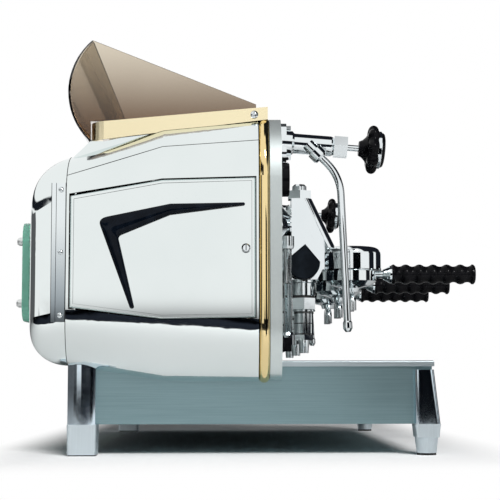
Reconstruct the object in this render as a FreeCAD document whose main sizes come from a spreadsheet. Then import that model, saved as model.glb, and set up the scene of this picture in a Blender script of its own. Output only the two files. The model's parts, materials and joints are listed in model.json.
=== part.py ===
import FreeCAD, Part
import math
import os

import Sketcher
from FreeCAD import Placement, Rotation, Vector

# A three-group lever-valve espresso machine, in millimetres.
# Z is up, the brew side faces -Y, X runs along the row of groups.

doc = FreeCAD.newDocument("espresso_machine")
sheet = doc.addObject("Spreadsheet::Sheet", "sizes")

driving_sizes = {
    # body section at the front edge, at the kink and at the rear seam
    "side_half": 470,
    "roll_width": 70,
    "low_roll_width": 44,
    "sheet_wall": 2,
    "front_top": 466,
    "front_flat_top": 375,
    "front_flat_bottom": 182,
    "front_bottom": 99,
    "kink_back": 161,
    "kink_top": 452,
    "kink_flat_top": 371.5,
    "kink_flat_bottom": 180,
    "kink_roll_level": 196,
    "kink_bottom": 101,
    "seam_back": 289,
    "seam_top": 409,
    "seam_flat_top": 351,
    "seam_flat_bottom": 194.5,
    "seam_bottom": 121,
    # line where the top cover meets the side shells
    "split_front": 427.5,
    "split_kink": 416,
    "split_seam": 375.5,
    "split_gap": 0.25,
    # rear cover
    "cover_depth": 49,
    "cover_top_end": 334,
    "cover_bottom_end": 169,
    "cover_edge": 14,
    "strip_width": 13,
    "strip_wall": 1.5,
    "strip_bottom": 178,
    "strip_top": 364,
    "bead_width": 6.5,
    "bead_raise": 0.8,
    "screw_radius": 3.6,
    "screw_head": 2.4,
    # front panel and brass trim tube
    "panel_depth": 16,
    "panel_wall": 2,
    "panel_inset": 3,
    "trim_diameter": 15.5,
    "trim_inset": 6,
    # base, legs and feet
    "base_inset": 42,
    "base_front": 204,
    "base_back": 284,
    "base_floor": 42,
    "base_wall": 2.5,
    "base_gap": 0.3,
    "base_top": 138,
    "tray_level": 118,
    "leg_side": 11,
    "leg_front_reach": 10,
    "leg_rear_reach": 5,
    "front_leg_depth": 35,
    "front_leg_top": 115,
    "front_leg_lean": 8,
    "rear_leg_depth": 38,
    "rear_leg_top": 126,
    "front_foot_bottom": 24,
    "collar_top_radius": 16,
    "collar_bottom_radius": 13.5,
    "pad_height": 3,
    # drip tray
    "pan_depth": 40,
    "pan_wall": 1.5,
    "pan_lip": 24,
    "rim_height": 8,
    "rim_width": 12,
    "rim_overhang": 3,
    "grid_wall": 4,
    "grid_gap": 1,
    "grid_slot": 7,
    "grid_slots": 41,
    "drain_radius": 10,
    # cup warmer
    "rail_inset": 36,
    "rail_wall": 3,
    "rail_front": 18,
    "rail_back": 261,
    "rail_front_top": 475.5,
    "rail_back_top": 453.7,
    "rail_front_bottom": 458,
    "rail_back_bottom": 428,
    "rail_corner": 18,
    "shelf_drop": 4,
    "shelf_wall": 3,
    "shelf_slots": 24,
    "plinth_back": 284,
    "guard_wall": 4,
    "guard_tip": 34,
    "guard_top": 570,
    "guard_sweep": 93.4,
    "guard_bend": 6,
    "guard_screw_back": 36.5,
    "guard_screw_radius": 5.3,
    # green glass on the customer side
    "glass_half": 350,
    "glass_bottom": 185,
    "glass_top": 326,
    "glass_wall": 10,
    "glass_corner": 22,
    "spacer_length": 17,
    "spacer_radius": 6,
    "stud_radius": 3,
    "cap_length": 11,
    "cap_inset": 26,
    # side doors
    "door_front_margin": 3,
    "door_back_margin": 4,
    "door_gap": 1,
    "door_depth": 12,
    "door_border": 5,
    "door_raise": 1,
    "hinge_inset": 5.5,
    "hinge_back_inset": 7,
    "hinge_relief": 1,
    "hinge_radius": 2,
    "hinge_clearance": 0.08,
    "lock_back": 48.6,
    "lock_level": 276.6,
    "lock_radius": 6,
    "lock_raise": 7,
    "lock_shaft": 3,
    "trim_raise": 7,
    "trim_tip_back": 52,
    "trim_tip_level": 333.9,
    "trim_tip_width": 4.3,
    "trim_bend_back": 150,
    "trim_bend_level": 321,
    "trim_bend_width": 15.5,
    "trim_elbow_back": 233,
    "trim_elbow_level": 319.5,
    "trim_heel_back": 243.5,
    "trim_heel_level": 307,
    "trim_inner_back": 214,
    "trim_inner_level": 294.6,
    "trim_foot_back": 203.5,
    "trim_foot_level": 198,
    # brew groups
    "group_pitch": 240,
    "bell_out": 112,
    "bell_radius": 46,
    "bell_top": 299,
    "bell_bottom": 265,
    "bell_edge": 11,
    "ledge_height": 5,
    "ledge_radius": 36.3,
    "groove_radius": 40,
    "groove_height": 7,
    "seat_radius": 36.5,
    "seat_height": 8,
    "neck_half": 21,
    "neck_back": 22,
    "neck_level": 331,
    "neck_top": 372,
    "neck_top_out": 53,
    "neck_foot_out": 88,
    "neck_bottom": 250,
    "rosette_radius": 38,
    "rosette_height": 20,
    "nut_out": 35,
    "nut_width": 34,
    "nut_height": 13,
    "nut_cap_radius": 11,
    "nut_cap_height": 10,
    "cam_out": 38.6,
    "cam_level": 273,
    "cam_radius": 21,
    "cam_half": 27,
    "chamber_out": 40.6,
    "chamber_radius": 17.4,
    "chamber_waist": 223,
    "chamber_step": 202,
    "chamber_low_radius": 14.5,
    "chamber_nut_top": 168,
    "nozzle_top": 160,
    "nozzle_bottom": 141,
    "nozzle_radius": 8.5,
    # levers
    "lever_radius": 24.3,
    "lever_tip": 28,
    "lever_corner": 4,
    "lever_tilt": 5,
    "lever_wall": 17,
    "lever_gap": 0.6,
    "lever_shaft": 5,
    "lever_shaft_length": 24,
    "shaft_clearance": 0.06,
    # portafilters
    "holder_radius": 35.5,
    "holder_top": 276,
    "holder_collar": 38,
    "holder_floor": 250,
    "holder_bottom": 238,
    "ear_radius": 39.4,
    "ear_height": 5.5,
    "ear_half_angle": 18,
    "unlock_angle": 50,
    "basket_radius": 30.5,
    "basket_wall": 1,
    "basket_flange": 34,
    "basket_floor": 254,
    "handle_level": 259,
    "handle_start": 61,
    "handle_length": 125.5,
    "handle_radius": 15,
    "handle_wave": 3.2,
    "handle_swells": 5,
    "handle_flare": 6,
    "handle_tang": 5,
    "tang_length": 40,
    "spout_half": 19,
    "spout_bottom": 204,
    "spout_radius": 6,
    "spout_bore": 4,
    # steam valves
    "valve_inset": 82,
    "flange_half": 15,
    "flange_rise": 26,
    "flange_drop": 28,
    "valve_level": 434,
    "valve_lean": 4.5,
    "valve_flange": 9,
    "valve_radius": 14,
    "valve_collar": 17,
    "valve_length": 76,
    "bonnet_width": 28,
    "bonnet_length": 19,
    "spindle_radius": 4.3,
    "spindle_clearance": 0.06,
    "knob_start": 111,
    "knob_length": 32,
    "knob_radius": 34.5,
    "knob_lobes": 8,
    "knob_hub_radius": 10,
    "knob_hub_length": 12,
    "knob_cap_radius": 17,
    "knob_cap_height": 4,
    "ball_out": 54,
    "ball_side": 16,
    "ball_level": 413,
    "ball_radius": 8,
    "ball_clearance": 0.3,
    "ball_nut_radius": 11.5,
    "wand_radius": 5.2,
    "wand_lead": 16,
    "wand_bend": 65,
    "wand_bottom": 167,
    "wand_lean": 2.5,
    "tip_radius": 6.5,
    "tip_length": 15,
    # gauge, sight glass and main switch
    "gauge_level": 381,
    "gauge_radius": 24,
    "gauge_depth": 13,
    "gauge_wall": 2,
    "needle_radius": 2.2,
    "sight_inset": 140,
    "sight_top": 298,
    "sight_bottom": 160,
    "sight_stand": 13,
    "sight_radius": 6,
    "switch_level": 150,
    "switch_radius": 11,
    "switch_length": 15,
    # boiler and service parts
    "boiler_end_space": 128,
    "boiler_radius": 85,
    "boiler_wall": 3,
    "boiler_back": 150,
    "boiler_level": 290,
    "end_radius": 100,
    "end_wall": 10,
    "saddle_out": 190,
    "saddle_wall": 6,
    "saddle_half": 60,
    "saddle_clearance": 0.15,
    "element_radius": 6,
    "pipe_radius": 5,
    "group_pipe_radius": 9,
    "motor_radius": 48,
    "motor_length": 150,
    "motor_back": 210,
    "pump_radius": 28,
    "pump_length": 70,
    "box_width": 80,
    "box_depth": 150,
    "box_height": 170,
    "inlet_radius": 10,
    "inlet_length": 16,
    "service_level": 75,
    "service_pitch": 110,
}

for row, (alias, number) in enumerate(driving_sizes.items(), start=1):
    sheet.set(f"A{row}", alias)
    sheet.set(f"B{row}", str(number))
    sheet.setAlias(f"B{row}", alias)
doc.recompute()


class Size:
    # a length kept as its number and as the expression that gives it
    def __init__(self, value, text):
        self.value = float(value)
        self.text = text

    def __add__(self, other):
        other = as_size(other)
        return Size(self.value + other.value, f"({self.text} + {other.text})")

    def __sub__(self, other):
        other = as_size(other)
        return Size(self.value - other.value, f"({self.text} - {other.text})")

    def __mul__(self, other):
        other = as_size(other)
        return Size(self.value * other.value, f"({self.text} * {other.text})")

    def __truediv__(self, other):
        other = as_size(other)
        return Size(self.value / other.value, f"({self.text} / {other.text})")

    def __radd__(self, other):
        return as_size(other) + self

    def __rsub__(self, other):
        return as_size(other) - self

    def __rmul__(self, other):
        return as_size(other) * self

    def __neg__(self):
        return Size(-self.value, f"(0 - {self.text})")

    def __float__(self):
        return self.value


class Sizes:
    def __getattr__(self, alias):
        return Size(sheet.get(alias), f"sizes.{alias}")


d = Sizes()
nodes = {}
plane_roles = {"XY": "XY_Plane", "XZ": "XZ_Plane", "YZ": "YZ_Plane"}
turn_along = {
    "X": Rotation(Vector(0, 1, 0), 90),
    "Y": Rotation(Vector(1, 0, 0), -90),
    "-Y": Rotation(Vector(1, 0, 0), 90),
    "Z": Rotation(),
    "-Z": Rotation(Vector(1, 0, 0), 180),
}


def as_size(number):
    if isinstance(number, Size):
        return number
    return Size(number, f"({float(number)!r})" if number < 0 else repr(float(number)))


def root_of(size):
    return Size(math.sqrt(size.value), f"sqrt({size.text})")


def bind(item, path, size):
    item.setExpression(path, as_size(size).text)


def put(item, x=0, y=0, z=0, along="Z"):
    item.Placement = Placement(Vector(), turn_along[along])
    for axis, place in (("x", x), ("y", y), ("z", z)):
        bind(item, f"Placement.Base.{axis}", place)
    return item


def node(label, item):
    item.Label = label
    nodes[label] = item
    return item


# primitives

def box(name, size, corner):
    item = doc.addObject("Part::Box", name)
    for side, length in zip(("Length", "Width", "Height"), size):
        bind(item, side, length)
    return put(item, *corner)


def cylinder(name, radius, length, place, along="Z"):
    item = doc.addObject("Part::Cylinder", name)
    bind(item, "Radius", radius)
    bind(item, "Height", length)
    return put(item, *place, along)


def cone(name, low_radius, high_radius, length, place, along="Z"):
    item = doc.addObject("Part::Cone", name)
    bind(item, "Radius1", low_radius)
    bind(item, "Radius2", high_radius)
    bind(item, "Height", length)
    return put(item, *place, along)


def fuse(name, *items):
    item = doc.addObject("Part::MultiFuse", name)
    item.Shapes = list(items)
    return item


def cut(name, base, *tools):
    item = doc.addObject("Part::Cut", name)
    item.Base = base
    item.Tool = tools[0] if len(tools) == 1 else fuse(f"{name}_tools", *tools)
    return item


def common(name, *items):
    item = doc.addObject("Part::MultiCommon", name)
    item.Shapes = list(items)
    return item


def group(name, *items):
    item = doc.addObject("Part::Compound", name)
    item.Links = list(items)
    return item


def copies(name, source, places):
    # the same piece at several places, each moved by (x, y, z)
    links = []
    for number, place in enumerate(places, start=1):
        link = doc.addObject("App::Link", f"{name}_{number}")
        link.LinkedObject = source
        link.LinkTransform = True
        for axis, distance in zip("xyz", place):
            bind(link, f"Placement.Base.{axis}", distance)
        links.append(link)
    return group(name, *links)


def mirrored(name, source):
    item = doc.addObject("Part::Mirroring", name)
    item.Source = source
    item.Normal = Vector(1, 0, 0)
    return item


def made(name, shape):
    item = doc.addObject("Part::Feature", name)
    item.Shape = shape
    return item


# sketched bodies

def outline(body, name, plane, points, offset=0):
    # closed outline; a point with a third value starts an arc of that radius,
    # positive where the arc bulges to the right of the way along the outline
    sketch = body.newObject("Sketcher::SketchObject", name)
    support = [part for part in body.Origin.OriginFeatures if part.Role == plane_roles[plane]]
    sketch.AttachmentSupport = [(support[0], "")]
    sketch.MapMode = "FlatFace"
    bind(sketch, "AttachmentOffset.Base.z", offset)
    corners = [(as_size(point[0]), as_size(point[1])) for point in points]
    count = len(points)
    for index, point in enumerate(points):
        start = Vector(corners[index][0].value, corners[index][1].value, 0)
        stop = Vector(corners[(index + 1) % count][0].value, corners[(index + 1) % count][1].value, 0)
        if len(point) == 2:
            sketch.addGeometry(Part.LineSegment(start, stop), False)
        else:
            radius = as_size(point[2]).value
            chord = stop - start
            side = Vector(chord.y, -chord.x, 0).normalize()
            reach = math.sqrt(max(radius ** 2 - (chord.Length / 2) ** 2, 0))
            rise = abs(radius) - reach
            middle = (start + stop) / 2 + side * (rise if radius > 0 else -rise)
            sketch.addGeometry(arc_of(start, middle, stop), False)
    ends = [own_end(sketch, index, corners[index]) for index in range(count)]
    for index in range(count):
        after = (index + 1) % count
        sketch.addConstraint(Sketcher.Constraint("Coincident", index, ends[index][1], after,
                                                 ends[after][0]))
    for index in range(count):
        for kind, size in zip(("DistanceX", "DistanceY"), corners[index]):
            number = sketch.addConstraint(
                Sketcher.Constraint(kind, -1, 1, index, ends[index][0], size.value))
            sketch.setExpression(f"Constraints[{number}]", size.text)
        if len(points[index]) == 3:
            radius = as_size(points[index][2])
            number = sketch.addConstraint(Sketcher.Constraint("Radius", index, abs(radius.value)))
            text = radius.text if radius.value > 0 else f"(0 - {radius.text})"
            sketch.setExpression(f"Constraints[{number}]", text)
    return sketch


def arc_of(start, middle, stop):
    circle = Part.Circle(start, middle, stop)
    circle = Part.Circle(circle.Center, Vector(0, 0, 1), circle.Radius)
    first = circle.parameter(start)
    last = circle.parameter(stop)
    half = circle.parameter(middle)
    span = (last - first) % (2 * math.pi)
    if (half - first) % (2 * math.pi) < span:
        return Part.ArcOfCircle(circle, first, first + span)
    return Part.ArcOfCircle(circle, last, last + (2 * math.pi - span))


def own_end(sketch, index, corner):
    # which end of the edge lies on its own corner: 1 for the start, 2 for the end
    corner = Vector(corner[0].value, corner[1].value, 0)
    first = sketch.getPoint(index, 1)
    last = sketch.getPoint(index, 2)
    return (1, 2) if (first - corner).Length < (last - corner).Length else (2, 1)


def new_body(name):
    return doc.addObject("PartDesign::Body", name)


def add_pad(body, name, plane, points, length, offset=0):
    sketch = outline(body, f"{name}_outline", plane, points, offset)
    pad = body.newObject("PartDesign::Pad", name)
    pad.Profile = sketch
    bind(pad, "Length", length)
    sketch.Visibility = False
    return pad


def add_pocket(body, name, plane, points, length, offset=0, reverse=False):
    sketch = outline(body, f"{name}_outline", plane, points, offset)
    pocket = body.newObject("PartDesign::Pocket", name)
    pocket.Profile = sketch
    pocket.Reversed = reverse
    bind(pocket, "Length", length)
    sketch.Visibility = False
    return pocket


def padded(name, plane, points, length, offset=0):
    body = new_body(name)
    add_pad(body, f"{name}_pad", plane, points, length, offset)
    return body


def turned(name, points, place=(0, 0, 0), along="Z"):
    # points are (radius, height) pairs round the axis
    body = new_body(name)
    sketch = outline(body, f"{name}_outline", "XZ", points)
    turn = body.newObject("PartDesign::Revolution", f"{name}_turn")
    turn.Profile = sketch
    turn.ReferenceAxis = (sketch, ["V_Axis"])
    turn.Angle = 360
    return put(body, *place, along)


def rounded_edges(body, name, radius, chosen):
    # rounds the edges of the body for which chosen(edge) holds
    doc.recompute()
    base = body.Tip
    names = [f"Edge{index}" for index, edge in enumerate(base.Shape.Edges, start=1) if chosen(edge)]
    fillet = body.newObject("PartDesign::Fillet", name)
    fillet.Base = (base, names)
    bind(fillet, "Radius", radius)
    body.Tip = fillet
    return fillet


def bevelled_edges(body, name, width, chosen):
    doc.recompute()
    base = body.Tip
    names = [f"Edge{index}" for index, edge in enumerate(base.Shape.Edges, start=1) if chosen(edge)]
    bevel = body.newObject("PartDesign::Chamfer", name)
    bevel.Base = (base, names)
    bind(bevel, "Size", width)
    body.Tip = bevel
    return bevel


def rectangle(left, right, low, high):
    return [(left, low), (right, low), (right, high), (left, high)]


def hexagon(width):
    # corners of a hexagon of this width across its flats
    points = []
    for corner in range(6):
        turn = math.radians(60 * corner)
        points.append((width * (math.cos(turn) / math.sqrt(3)), width * (math.sin(turn) / math.sqrt(3))))
    return points


def runs_along(edge, axis):
    if edge.Curve.TypeId != "Part::GeomLine":
        return False
    return abs(abs(edge.Curve.Direction.dot(axis)) - 1) < 1e-6


def bent_tube(points, radius, bend):
    # round tube or rod along straight runs joined by bends of one radius
    runs = []
    start = points[0]
    for before, corner, after in zip(points, points[1:], points[2:]):
        back = (before - corner).normalize()
        ahead = (after - corner).normalize()
        half = back.getAngle(ahead) / 2
        reach = bend / math.tan(half)
        enter = corner + back * reach
        leave = corner + ahead * reach
        middle = corner + (back + ahead).normalize() * (bend / math.sin(half) - bend)
        runs.append(Part.LineSegment(start, enter).toShape())
        runs.append(Part.Arc(enter, middle, leave).toShape())
        start = leave
    runs.append(Part.LineSegment(start, points[-1]).toShape())
    spine = Part.Wire(runs)
    ring = Part.Wire(Part.makeCircle(radius, points[0], points[1] - points[0]))
    return spine.makePipeShell([ring], True, True)


# places along the depth, measured from the face of the front panel

front_reach = d.bell_out + d.handle_start + d.handle_length
rear_reach = d.seam_back + d.cover_depth + d.spacer_length + d.glass_wall + d.cap_length
panel_y = (front_reach - rear_reach) / 2


def back(distance):
    return panel_y + distance


def out(distance):
    return panel_y - distance


shell_front = d.panel_depth + d.trim_diameter
base_half = d.side_half - d.base_inset
rail_half = d.side_half - d.rail_inset
boiler_half = base_half - d.boiler_end_space
valve_out = d.side_half - d.valve_inset
sight_out = d.side_half - d.sight_inset
group_places = [-d.group_pitch, as_size(0), as_size(1) * d.group_pitch]

# the body tube: one outline carried through the front, the kink and the seam


def section(depth, half, top, flat_top, flat_bottom, bottom, rolls, grow=0.0):
    # closed body outline at one depth, grown or shrunk by a wall;
    # rolls are the widths of the rounded corners above and below
    half = half + grow
    top = top + grow
    bottom = bottom - grow

    def quarter(side_x, side_z):
        inner = half - grow - (rolls[0] if side_z > 0 else rolls[1])
        middle = Vector(side_x * inner, depth, flat_top if side_z > 0 else flat_bottom)
        reach_z = (top - flat_top) if side_z > 0 else (flat_bottom - bottom)
        reach_x = half - inner
        side = middle + Vector(side_x * reach_x, 0, 0)
        crown = middle + Vector(0, 0, side_z * reach_z)
        if reach_x > reach_z:
            ellipse = Part.Ellipse(side, crown, middle)
        else:
            ellipse = Part.Ellipse(crown, side, middle)
        first = ellipse.parameter(side)
        last = ellipse.parameter(crown)
        span = (last - first) % (2 * math.pi)
        if span > math.pi:
            first, last = last, first
            span = 2 * math.pi - span
        return side, crown, Part.ArcOfEllipse(ellipse, first, first + span).toShape()

    ring = [quarter(-1, 1), quarter(1, 1), quarter(1, -1), quarter(-1, -1)]
    edges = [corner[2] for corner in ring]
    edges.append(Part.makeLine(ring[0][1], ring[1][1]))
    edges.append(Part.makeLine(ring[1][0], ring[2][0]))
    edges.append(Part.makeLine(ring[2][1], ring[3][1]))
    edges.append(Part.makeLine(ring[3][0], ring[0][0]))
    return Part.Wire(Part.__sortEdges__(edges))


def stations(grow):
    rolls = (float(d.roll_width), float(d.low_roll_width))
    half = float(d.side_half)
    rows = [
        (shell_front, d.front_top, d.front_flat_top, d.front_flat_bottom, d.front_bottom),
        (d.kink_back, d.kink_top, d.kink_flat_top, d.kink_roll_level, d.kink_bottom),
        (d.seam_back, d.seam_top, d.seam_flat_top, d.seam_flat_bottom, d.seam_bottom),
    ]
    wires = []
    for place, top, flat_top, flat_bottom, bottom in rows:
        wires.append(section(float(back(place)), half, float(top), float(flat_top),
                             float(flat_bottom), float(bottom), rolls, grow))
    return wires


body_solid = Part.makeLoft(stations(0.0), True, True)
body_core = Part.makeLoft(stations(-float(d.sheet_wall)), True, True)
body_outer = made("body_outer", body_solid)
body_clear = made("body_clear", Part.makeLoft(stations(0.3), True, True))
body_tube = made("body_tube", body_solid.cut(body_core))


def split_line(gap):
    return [
        (back(0), d.split_front + gap),
        (back(d.kink_back), d.split_kink + gap),
        (back(d.seam_back + 1), d.split_seam + gap),
    ]


wide = d.side_half * 2 + 100
above_split = padded("above_split", "YZ", split_line(d.split_gap / 2) + [
    (back(d.seam_back + 1), d.front_top + 50), (back(0), d.front_top + 50)], wide, -wide / 2)
below_split = padded("below_split", "YZ", list(reversed(split_line(-d.split_gap / 2))) + [
    (back(0), d.front_bottom - 50), (back(d.seam_back + 1), d.seam_bottom - 50)], d.side_half,
    base_half + d.base_gap)

# side shells, with the door opening, the hinge lugs and the lock catch

door_front = shell_front + d.door_front_margin
door_back = d.seam_back - d.door_back_margin


def door_outline(gap, relief=0):
    # relief clears the sloped rear corners as the door swings
    low_front = d.front_flat_bottom + 1 + gap
    low_kink = d.kink_flat_bottom + 1 + gap
    low_back = d.seam_flat_bottom + 1 + gap + relief
    high_front = d.front_flat_top - 1 - gap
    high_kink = d.kink_flat_top - 1 - gap
    high_back = d.seam_flat_top - 1 - gap - relief
    return [
        (back(door_front + gap), low_front),
        (back(d.kink_back), low_kink),
        (back(door_back - gap), low_back),
        (back(door_back - gap), high_back),
        (back(d.kink_back), high_kink),
        (back(door_front + gap), high_front),
    ]


hinge_y = back(door_back - d.door_gap - d.hinge_back_inset)
hinge_x = d.side_half - d.hinge_inset
opening = padded("door_opening", "YZ", door_outline(0), 60, d.side_half - 40)
right_side = cut("right_side", common("right_skin", body_tube, below_split), opening)

lug_wall = 4
lug_half = d.hinge_radius + 3.5
lug_low = d.seam_flat_bottom - lug_wall - 4
lug_high = d.seam_flat_top + 4
lugs = []
for lug_number, lug_z in enumerate((lug_low, lug_high), start=1):
    lug = box(f"hinge_lug_{lug_number}", (lug_half + d.hinge_inset - 1, lug_half * 2, lug_wall),
              (hinge_x - lug_half, hinge_y - lug_half, lug_z))
    bore = cylinder(f"hinge_bore_{lug_number}", d.hinge_radius + d.hinge_clearance, lug_wall + 2,
                    (hinge_x, hinge_y, lug_z - 1))
    lugs.append(cut(f"bored_lug_{lug_number}", lug, bore))
catch = box("lock_catch", (d.door_depth - 1, d.door_front_margin, 30),
            (d.side_half - d.door_depth, back(shell_front), d.lock_level - 15))
right_shell = node("right_shell", fuse("right_shell", right_side, *lugs, catch))
left_shell = node("left_shell", mirrored("left_shell", right_shell))

# doors: a folded panel with a raised border, turning on two pins at its rear edge


def add_hinge_pin(number, low, high):
    return cylinder(f"door_pin_{number}", d.hinge_radius, high - low, (hinge_x, hinge_y, low))


door = new_body("door_panel")
add_pad(door, "door_pad", "YZ", door_outline(d.door_gap, d.hinge_relief), d.door_depth,
        d.side_half - d.door_depth)
bevelled_edges(door, "door_bevel", 2.2, lambda edge: all(
    abs(vertex.X - float(d.side_half)) < 1e-6 for vertex in edge.Vertexes))
inner_gap = d.door_gap + d.sheet_wall
add_pocket(door, "door_hollow", "YZ", door_outline(inner_gap, d.hinge_relief),
           d.door_depth - d.sheet_wall - d.door_raise, d.side_half - d.door_depth, True)
add_pocket(door, "door_field", "YZ", door_outline(d.door_gap + d.door_border, d.hinge_relief), d.door_raise,
           d.side_half)
lock_hole = cylinder("lock_hole", d.lock_shaft + 0.1, 40,
                     (d.side_half - 30, back(d.lock_back), d.lock_level),
                     "X")
top_pin = add_hinge_pin(1, d.seam_flat_top - 12, lug_high + lug_wall)
low_pin = add_hinge_pin(2, lug_low, d.seam_flat_bottom + 12)
right_door = node("right_door", fuse("right_door", cut("drilled_door", door, lock_hole), top_pin, low_pin))
left_door = node("left_door", mirrored("left_door", right_door))

# black boomerang trim on each door

inner_bend = d.trim_raise * 0.7
foot_round = d.trim_raise * 0.6
tip_round = d.trim_tip_width * 0.6
trim_points = [
    (back(d.trim_tip_back), d.trim_tip_level),
    (back(d.trim_bend_back), d.trim_bend_level),
    (back(d.trim_inner_back), d.trim_inner_level, -inner_bend),
    (back(d.trim_inner_back + inner_bend * 0.9), d.trim_inner_level - inner_bend * 1.3),
    (back(d.trim_foot_back - foot_round * 1.4), d.trim_foot_level + foot_round * 0.4, foot_round),
    (back(d.trim_foot_back), d.trim_foot_level),
    (back(d.trim_heel_back), d.trim_heel_level, d.trim_raise * 1.3),
    (back(d.trim_elbow_back), d.trim_elbow_level),
    (back(d.trim_bend_back), d.trim_bend_level + d.trim_bend_width),
    (back(d.trim_tip_back), d.trim_tip_level + d.trim_tip_width, tip_round),
]
trim = new_body("door_trim")
add_pad(trim, "trim_pad", "YZ", trim_points, d.trim_raise, d.side_half - d.door_raise)
rounded_edges(trim, "trim_rounding", 1.6, lambda edge: all(
    abs(vertex.X - float(d.side_half - d.door_raise + d.trim_raise)) < 1e-6 for vertex in edge.Vertexes))
node("right_door_trim", trim)
node("left_door_trim", mirrored("left_door_trim", trim))

# quarter-turn lock: knob, shaft through the door and the tongue behind it

tongue_inner = d.side_half - d.door_depth - 0.4
lock_knob = turned("lock_knob", [
    (0, tongue_inner - 3), (d.lock_shaft, tongue_inner - 3), (d.lock_shaft, d.side_half - d.door_raise),
    (d.lock_radius, d.side_half - d.door_raise), (d.lock_radius, d.side_half + d.lock_raise - 3),
    (d.lock_radius - 2, d.side_half + d.lock_raise - 1), (0, d.side_half + d.lock_raise - 1)],
    (0, back(d.lock_back), d.lock_level), "X")
key_slot = box("key_slot", (2, 1.2, 7), (d.side_half + d.lock_raise - 2, back(d.lock_back) - 0.6,
                                         d.lock_level - 3.5))
tongue = box("lock_tongue", (2.5, 8, 22), (tongue_inner - 2.5, back(d.lock_back) - 4, d.lock_level - 4))
right_lock = node("right_door_lock",
                  fuse("right_door_lock", cut("slotted_knob", lock_knob, key_slot), tongue))
node("left_door_lock", mirrored("left_door_lock", right_lock))

# top cover with the plinth that carries the rear of the cup rail

top_skin = common("top_skin", body_tube, above_split)
plinth_block = padded("plinth_block", "YZ", [
    (back(d.kink_back - 6), d.kink_flat_top), (back(d.plinth_back), d.seam_flat_top),
    (back(d.plinth_back), d.seam_top - 3), (back(d.rail_back + 0.5), d.rail_back_bottom - 0.3),
    (back(d.rail_back - d.rail_corner - 1), d.rail_back_bottom - 0.3),
    (back(d.kink_back - 6), d.kink_top - 6)], (rail_half - d.rail_wall) * 2,
    -(rail_half - d.rail_wall))
plinth = cut("plinth", plinth_block, body_outer)
node("top_cover", fuse("top_cover", top_skin, plinth))

# rear cover: the seam outline drawn in to the flat customer face


def cover_sections(wall):
    depth = float(d.cover_depth)
    edge = float(d.cover_edge)
    wires = []
    high_run = float(d.seam_top - d.cover_top_end)
    high_radius = (depth ** 2 + high_run ** 2) / (2 * depth)
    low_run = float(d.cover_bottom_end - d.seam_bottom)
    low_radius = (depth ** 2 + low_run ** 2) / (2 * depth)
    for share in (0.0, 0.14, 0.32, 0.52, 0.72, 0.88, 0.97, 1.0):
        place = depth * share
        high_reach = high_radius ** 2 - (high_radius - depth + place) ** 2
        top = float(d.cover_top_end) + math.sqrt(max(high_reach, 0))
        low_reach = low_radius ** 2 - (low_radius - depth + place) ** 2
        bottom = float(d.cover_bottom_end) - math.sqrt(max(low_reach, 0))
        past = max(place - (depth - edge), 0.0)
        half = float(d.side_half) - (edge - math.sqrt(max(edge ** 2 - past ** 2, 0)))
        rolls = [float(width) * (1 - share) + edge * share for width in (d.roll_width, d.low_roll_width)]
        flat_top = float(d.seam_flat_top) * (1 - share) + (float(d.cover_top_end) - edge) * share
        flat_bottom = float(d.seam_flat_bottom) * (1 - share) + (float(d.cover_bottom_end) + edge) * share
        flat_top = min(flat_top, top - 4)
        flat_bottom = max(flat_bottom, bottom + 4)
        y = float(back(d.seam_back)) + place * (1 - wall / depth)
        wires.append(section(y, half, top, flat_top, flat_bottom, bottom, rolls, -wall))
    return wires


cover_outer = Part.makeLoft(cover_sections(0.0), True, False)
cover_inner = Part.makeLoft(cover_sections(float(d.sheet_wall)), True, False)
node("rear_cover", made("rear_cover", cover_outer.cut(cover_inner)))

# seam strips beside the doors and the screws that hold them

strip_points = rectangle(back(d.seam_back), back(d.seam_back + d.strip_width), d.strip_bottom, d.strip_top)
strip = padded("seam_strip", "YZ", strip_points, d.strip_wall, d.side_half + 0.3)
bead_start = d.seam_back + d.strip_width
bead = padded("seam_bead",
              "YZ", rectangle(back(bead_start), back(bead_start + d.bead_width), d.strip_bottom,
                                           d.strip_top), d.bead_raise, d.side_half + 0.3)
right_strip = fuse("right_strip", strip, bead)
node("seam_strips", group("seam_strips", right_strip, mirrored("left_strip", right_strip)))

screw = turned("cover_screw", [
    (0, 0), (d.screw_radius, 0), (d.screw_radius, d.screw_head - 1), (d.screw_radius - 1, d.screw_head),
    (0, d.screw_head)], (0, 0, 0), "X")
screw_places = []
for level in (d.strip_bottom + 9, (d.strip_bottom + d.strip_top) / 2, d.strip_top - 9):
    screw_places.append((d.side_half + 0.3 + d.strip_wall, back(d.seam_back + d.strip_width / 2), level))
right_screws = copies("right_screws", screw, screw_places)
guard_screw = turned("guard_screw", [
    (0, 0), (d.guard_screw_radius, 0), (d.guard_screw_radius, 3), (d.guard_screw_radius - 1.5, 4.5),
    (0, 4.5)],
    (rail_half, back(d.guard_screw_back), d.rail_front_top - 11), "X")
near_screws = group("near_screws", right_screws, guard_screw)
node("cover_screws", group("cover_screws", near_screws, mirrored("left_screws", near_screws)))

# front panel: a shallow pressed box inside the body outline, standing on the pan lip
# with its lower corners outside the base

panel_bottom = d.tray_level + d.pan_wall
panel_low_half = base_half + d.base_gap
panel_low = box("panel_low", (panel_low_half * 2, d.panel_depth * 4, panel_bottom),
                (-panel_low_half, back(0) - d.panel_depth, 0))


def front_section(depth, inset):
    # the front outline of the body, drawn in by this much
    return section(float(depth), float(d.side_half), float(d.front_top), float(d.front_flat_top),
                   float(d.front_flat_bottom), float(d.front_bottom),
                   (float(d.roll_width), float(d.low_roll_width)), -float(inset))


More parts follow.
